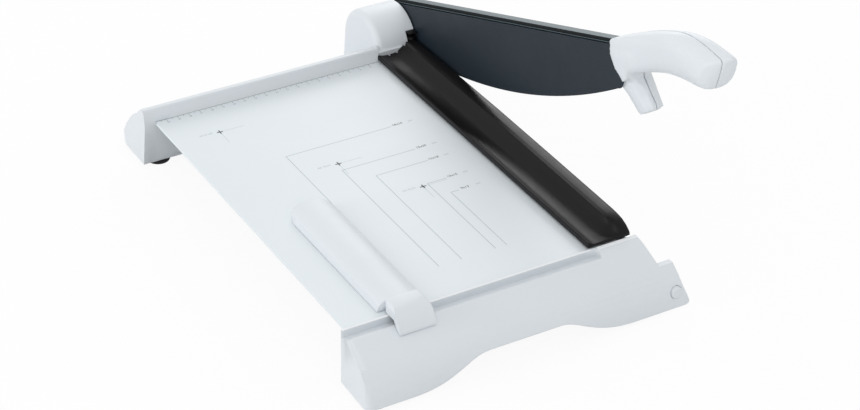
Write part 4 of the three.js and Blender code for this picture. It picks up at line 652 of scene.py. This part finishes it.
LEG_RIGHT_SIDE = (
    (34.9, 363.5, -23.8), (34.9, 380.8, -20.6), (34.9, 377.6, -10.0), (34.9, 370.5, 3.0),
    (43.0, 366.0, -22.5), (43.4, 377.4, -20.4), (43.2, 351.0, -7.0), (43.2, 371.0, -7.0),
    (43.6, 350.0, 6.0), (43.6, 366.0, 6.0), (34.9, 347.0, -4.0), (34.9, 347.0, 6.0),
)


# The voxels that the grip is remade from, and its smoothing turns: everywhere, and on the outer side, whose
# skin looks left at least this far and ends where the hand begins
VOXEL = 0.6 * MM
TURNS = 3
OUTER_TURNS = 30
OUTER_LEAN = -0.45
OUTER_FRONT = -0.4


def smooth(form, verts, turns):
    """Draws corners towards their neighbours, a few times over."""
    for turn in range(turns):
        bmesh.ops.smooth_vert(
            form, verts=verts, factor=0.5, use_axis_x=True, use_axis_y=True, use_axis_z=True)


def smooth_outer_side(form):
    """Lets the curves of the cheek and leg run into each other on the side that shows."""
    form.normal_update()
    chosen = [vert for vert in form.verts if vert.normal.x < OUTER_LEAN and vert.co.y > OUTER_FRONT]
    smooth(form, chosen, OUTER_TURNS)


def dress_handle(node, name, hulls):
    """The grip's half shell, remeshed finely and smoothed, so its curves flow as moulded ones do."""
    form = merged_copy(node, 0.0)
    for corners in hulls:
        add_hull(form, corners)
    rough = placed(name + "_rough", mesh_of(form, name))
    remesh = rough.modifiers.new("remesh", "REMESH")
    remesh.mode = "VOXEL"
    remesh.voxel_size = VOXEL
    even = worked_mesh(rough)
    bpy.data.objects.remove(rough)
    form = bmesh.new()
    form.from_mesh(even)
    bpy.data.meshes.remove(even)
    smooth(form, form.verts, TURNS)
    smooth_outer_side(form)
    piece = add_piece(form, name, "arm", [MATERIALS["white_plastic"]], 180.0)
    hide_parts(node)


# Printing lies a hair above the table: its thickness and the height of its middle, in millimetres
INK_THICKNESS = 0.03
INK_LEVEL = TABLE_TOP + 0.013


def printed_bar(form, x0, y0, x1, y1):
    """A thin bar laid on the table, for print and for painted shade, from two corners in millimetres."""
    add_block(form, (x1 - x0, y1 - y0, INK_THICKNESS), ((x0 + x1) / 2, (y0 + y1) / 2, INK_LEVEL))


def printed_dash(form, x0, x1, y, half):
    """A printed line along X."""
    printed_bar(form, x0, y - half, x1, y + half)


def printed_stroke(form, x, y0, y1, half):
    """A printed line along Y."""
    printed_bar(form, x - half, y0, x + half, y1)


def add_print(form, name, material):
    """Printing, and the painted shade of the gaps, stays on the frame, with flat faces."""
    piece = add_piece(form, name, "frame", [material], 180.0)
    piece.data.shade_flat()


# The printed outlines: their inner corners, how far they run to the right and to the front, half their
# line's width, and their sizes. Then the plus marks: their middles, and the names of the sheets beside them.
FORMAT_CORNERS = ((-160, -133), (-130, -173), (-110, -193), (-80, -223), (-70, -243))
FORMAT_NAMES = ("18x24", "15x20", "13x18", "10x15", "9x13")
FORMAT_RIGHT = -62.5
FORMAT_FRONT = -327.7
FORMAT_HALF = 0.25
PLUS_PLACES = ((-190, -73), (-128, -163), (-85, -225))
PLUS_ARM = 2.8
PLUS_HALF = 0.5
SHEET_NAMES = ("A4 21x30", "A5 15x21", "A6 10x15")

# The crop lines: how far from a plus mark's middle they start, and end to the right and to the front
CROP_START = 3.5
CROP_RIGHT = 22.0
CROP_FRONT = 18.0
CROP_HALF = 0.12

# The ruler: its first tick, how many there are and how far apart, half a tick's width, and where ticks
# begin and end before the fence
CENTIMETRE = 10.0
FIRST_TICK = CUT_X - CENTIMETRE
TICKS = 49
TICK_STEP = 5.0
TICK_HALF = 0.15
LONG_TICK = 3.4
SHORT_TICK = 2.2
TICK_END = 0.9
RULER_NUMBERS = range(1, 25)

# The printed words: their heights, and where they stand beside what they name
RULER_HEIGHT = 2.3
RULER_DROP = 5.3
SIZE_HEIGHT = 3.8
SIZE_X = -56.5
UNIT_HEIGHT = 3.6
UNIT_X = -44.5
LINE_LIFT = 1.2
SHEET_HEIGHT = 3.0
SHEET_SHIFT = 12.0
SHEET_LIFT = 1.5

# The painted shade of the gap along the fence, as two corners, and of the gap low in the stop's slot, as a
# size and a centre
FENCE_GAP = (-229.6, FENCE_Y - 0.42, CUT_X - 39.5, FENCE_Y - 0.02)
SLOT_GAP_SIZE = (214.0, 0.1, 2.6)
SLOT_GAP_PLACE = (-121.0, -366.4, 46.3)


def print_formats():
    """The printed outlines of the usual photo sizes."""
    form = bmesh.new()
    for x, y in FORMAT_CORNERS:
        printed_stroke(form, x, FORMAT_FRONT, y + FORMAT_HALF, FORMAT_HALF)
        printed_dash(form, x + FORMAT_HALF, FORMAT_RIGHT, y, FORMAT_HALF)
    add_print(form, "format_lines", LINE_INK)


def print_marks():
    """Plus marks, with the short crop lines beside them."""
    form = bmesh.new()
    for x, y in PLUS_PLACES:
        printed_dash(form, x - PLUS_ARM, x + PLUS_ARM, y, PLUS_HALF)
        printed_stroke(form, x, y + PLUS_HALF, y + PLUS_ARM, PLUS_HALF)
        printed_stroke(form, x, y - PLUS_ARM, y - PLUS_HALF, PLUS_HALF)
    add_print(form, "plus_marks", MARK_INK)
    form = bmesh.new()
    for x, y in PLUS_PLACES:
        printed_dash(form, x + CROP_START, x + CROP_RIGHT, y, CROP_HALF)
        printed_stroke(form, x, y - CROP_FRONT, y - CROP_START, CROP_HALF)
    add_print(form, "crop_lines", LINE_INK)


def print_ruler():
    """A tick every 5 mm along the fence, each second one long."""
    form = bmesh.new()
    for step in range(TICKS):
        length = SHORT_TICK if step % 2 else LONG_TICK
        x = FIRST_TICK - TICK_STEP * step
        printed_stroke(form, x, FENCE_Y - length, FENCE_Y - TICK_END, TICK_HALF)
    add_print(form, "ruler_ticks", TICK_INK)


def add_gap_lines():
    """Painted shade: dark strips for the gaps between the fence and the table, and low in the stop's slot.
    """
    form = bmesh.new()
    printed_bar(form, *FENCE_GAP)
    add_print(form, "fence_gap_shade", GAP_SHADE)
    form = bmesh.new()
    add_block(form, SLOT_GAP_SIZE, SLOT_GAP_PLACE)
    add_print(form, "slot_gap_shade", GAP_SHADE)


def print_words(name, words, material):
    """Small printed words, each given as its text, its height and its centre in millimetres."""
    form = bmesh.new()
    for body, height, x, y in words:
        curve = bpy.data.curves.new(name, "FONT")
        curve.body = body
        curve.size = height * MM
        curve.align_x = "CENTER"
        curve.align_y = "CENTER"
        curve.resolution_u = 2
        curve.extrude = INK_THICKNESS / 2 * MM
        letters = placed(name, curve)
        mesh = worked_mesh(letters)
        bpy.data.objects.remove(letters)
        mesh.transform(Matrix.Translation(Vector((x, y, INK_LEVEL)) * MM))
        form.from_mesh(mesh)
        bpy.data.meshes.remove(mesh)
    bmesh.ops.remove_doubles(form, verts=form.verts, dist=0.001 * MM)
    add_print(form, name, material)


def print_numbers():
    """The ruler's centimetres, and the sizes beside the outlines and the plus marks."""
    ruler = [(str(step), RULER_HEIGHT, CUT_X - CENTIMETRE * step, FENCE_Y - RULER_DROP)
             for step in RULER_NUMBERS]
    sizes = [(words, SIZE_HEIGHT, SIZE_X, y + LINE_LIFT)
             for words, (x, y) in zip(FORMAT_NAMES, FORMAT_CORNERS)]
    sheets = [(words, SHEET_HEIGHT, x - SHEET_SHIFT, y + SHEET_LIFT)
              for words, (x, y) in zip(SHEET_NAMES, PLUS_PLACES)]
    units = [("cm", UNIT_HEIGHT, UNIT_X, y + LINE_LIFT) for x, y in FORMAT_CORNERS]
    print_words("ruler_numbers", ruler, TICK_INK)
    print_words("format_numbers", sizes, MARK_INK)
    print_words("sheet_numbers", sheets, LINE_INK)
    print_words("format_units", units, LINE_INK)


def make_camera():
    """Looks along its azimuth and elevation, then leans by its roll."""
    forward = Vector((math.sin(CAMERA_AZIMUTH) * math.cos(CAMERA_ELEVATION),
                      math.cos(CAMERA_AZIMUTH) * math.cos(CAMERA_ELEVATION),
                      -math.sin(CAMERA_ELEVATION)))
    level = Vector((math.cos(CAMERA_AZIMUTH), -math.sin(CAMERA_AZIMUTH), 0.0))
    above = level.cross(forward)
    right = level * math.cos(CAMERA_ROLL) + above * math.sin(CAMERA_ROLL)
    up = above * math.cos(CAMERA_ROLL) - level * math.sin(CAMERA_ROLL)
    data = bpy.data.cameras.new("camera")
    data.lens = CAMERA_LENS
    data.sensor_width = SENSOR_WIDTH
    data.clip_end = 20.0
    camera = placed("camera", data)
    camera.matrix_world = Matrix((
        (right.x, up.x, -forward.x, CAMERA_PLACE.x),
        (right.y, up.y, -forward.y, CAMERA_PLACE.y),
        (right.z, up.z, -forward.z, CAMERA_PLACE.z),
        (0.0, 0.0, 0.0, 1.0),
    ))
    bpy.context.scene.camera = camera


# Lamps: name, place, what they point at, size in metres and power in watts
LAMPS = (
    ("behind_right", (0.95, 1.25, 0.8), (0.0, -0.2, 0.05), 1.0, 8.0),
    ("front_above", (-0.7, -1.4, 1.7), (0.0, -0.15, 0.05), 1.3, 5.5),
    ("left", (-1.8, 0.1, 0.6), (-0.1, -0.1, 0.05), 1.0, 7.0),
)
WORLD_LIGHT = 0.78
FLOOR_GREY = 0.86
FLOOR_GLOW = 0.93


def lamp(name, place, target, size, power):
    """A round area lamp that points at a target."""
    data = bpy.data.lights.new(name, "AREA")
    data.shape = "DISK"
    data.size = size
    data.energy = power
    light = placed(name, data)
    light.location = place
    light.rotation_mode = "QUATERNION"
    light.rotation_quaternion = (Vector(target) - Vector(place)).to_track_quat("-Z", "Y")


def seen_share(tree):
    """1 for the rays that see the backdrop: the camera's own, and those off metal or through glass."""
    path = tree.nodes.new("ShaderNodeLightPath")
    share = path.outputs["Is Camera Ray"]
    for other in ("Is Glossy Ray", "Is Transmission Ray"):
        share = combined(tree, "MAXIMUM", share, path.outputs[other])
    return share


def mix_shaders(tree, share, first, second, end):
    """Blends two shaders by a share, into the tree's output."""
    mix = tree.nodes.new("ShaderNodeMixShader")
    link(tree, share, mix.inputs[0])
    link(tree, first.outputs[0], mix.inputs[1])
    link(tree, second.outputs[0], mix.inputs[2])
    link(tree, mix.outputs[0], tree.nodes[end].inputs["Surface"])


def make_studio():
    """A soft white world that is seen as plain white, and three weak lamps."""
    world = bpy.data.worlds.new("studio")
    bpy.context.scene.world = world
    world.use_nodes = True
    tree = world.node_tree
    soft = tree.nodes["Background"]
    seen = tree.nodes.new("ShaderNodeBackground")
    for background in (soft, seen):
        background.inputs["Color"].default_value = (1.0, 1.0, 1.0, 1.0)
    soft.inputs["Strength"].default_value = WORLD_LIGHT
    mix_shaders(tree, seen_share(tree), soft, seen, "World Output")
    for name, place, target, size, power in LAMPS:
        lamp(name, place, target, size, power)


def make_floor():
    """A floor that keeps the shadow and otherwise melts into the white behind it."""
    form = bmesh.new()
    bmesh.ops.create_grid(form, x_segments=1, y_segments=1, size=6.0)
    mesh = mesh_of(form, "floor")
    floor = placed("floor", mesh)
    material, tree, shader = new_material("floor")
    shader.inputs["Base Color"].default_value = (FLOOR_GREY, FLOOR_GREY, FLOOR_GREY, 1.0)
    shader.inputs["Roughness"].default_value = 0.9
    glow = tree.nodes.new("ShaderNodeEmission")
    glow.inputs["Color"].default_value = (1.0, 1.0, 1.0, 1.0)
    share = tree.nodes.new("ShaderNodeMath")
    share.operation = "MULTIPLY"
    share.inputs[1].default_value = FLOOR_GLOW
    link(tree, seen_share(tree), share.inputs[0])
    mix_shaders(tree, share.outputs[0], shader, glow, "Material Output")
    mesh.materials.append(material)


make_camera()
make_studio()
make_floor()
finish_nodes()
dress_table()
dress_front()
dress_mouldings()
add_clamp_lug()
add_mouth_liner()
for screw in SCREW_NODES:
    dress_screw(screw)
for foot in FOOT_NODES:
    dress_foot(foot)
dress_blade()
dress_handle("handle_left", "grip_left", (CHEEK, CHEEK_CORNER, LEG_LEFT_SIDE))
dress_handle("handle_right", "grip_right", (LEG_RIGHT_SIDE,))
print_formats()
print_marks()
print_ruler()
add_gap_lines()
print_numbers()
bpy.context.scene.view_settings.view_transform = "Standard"
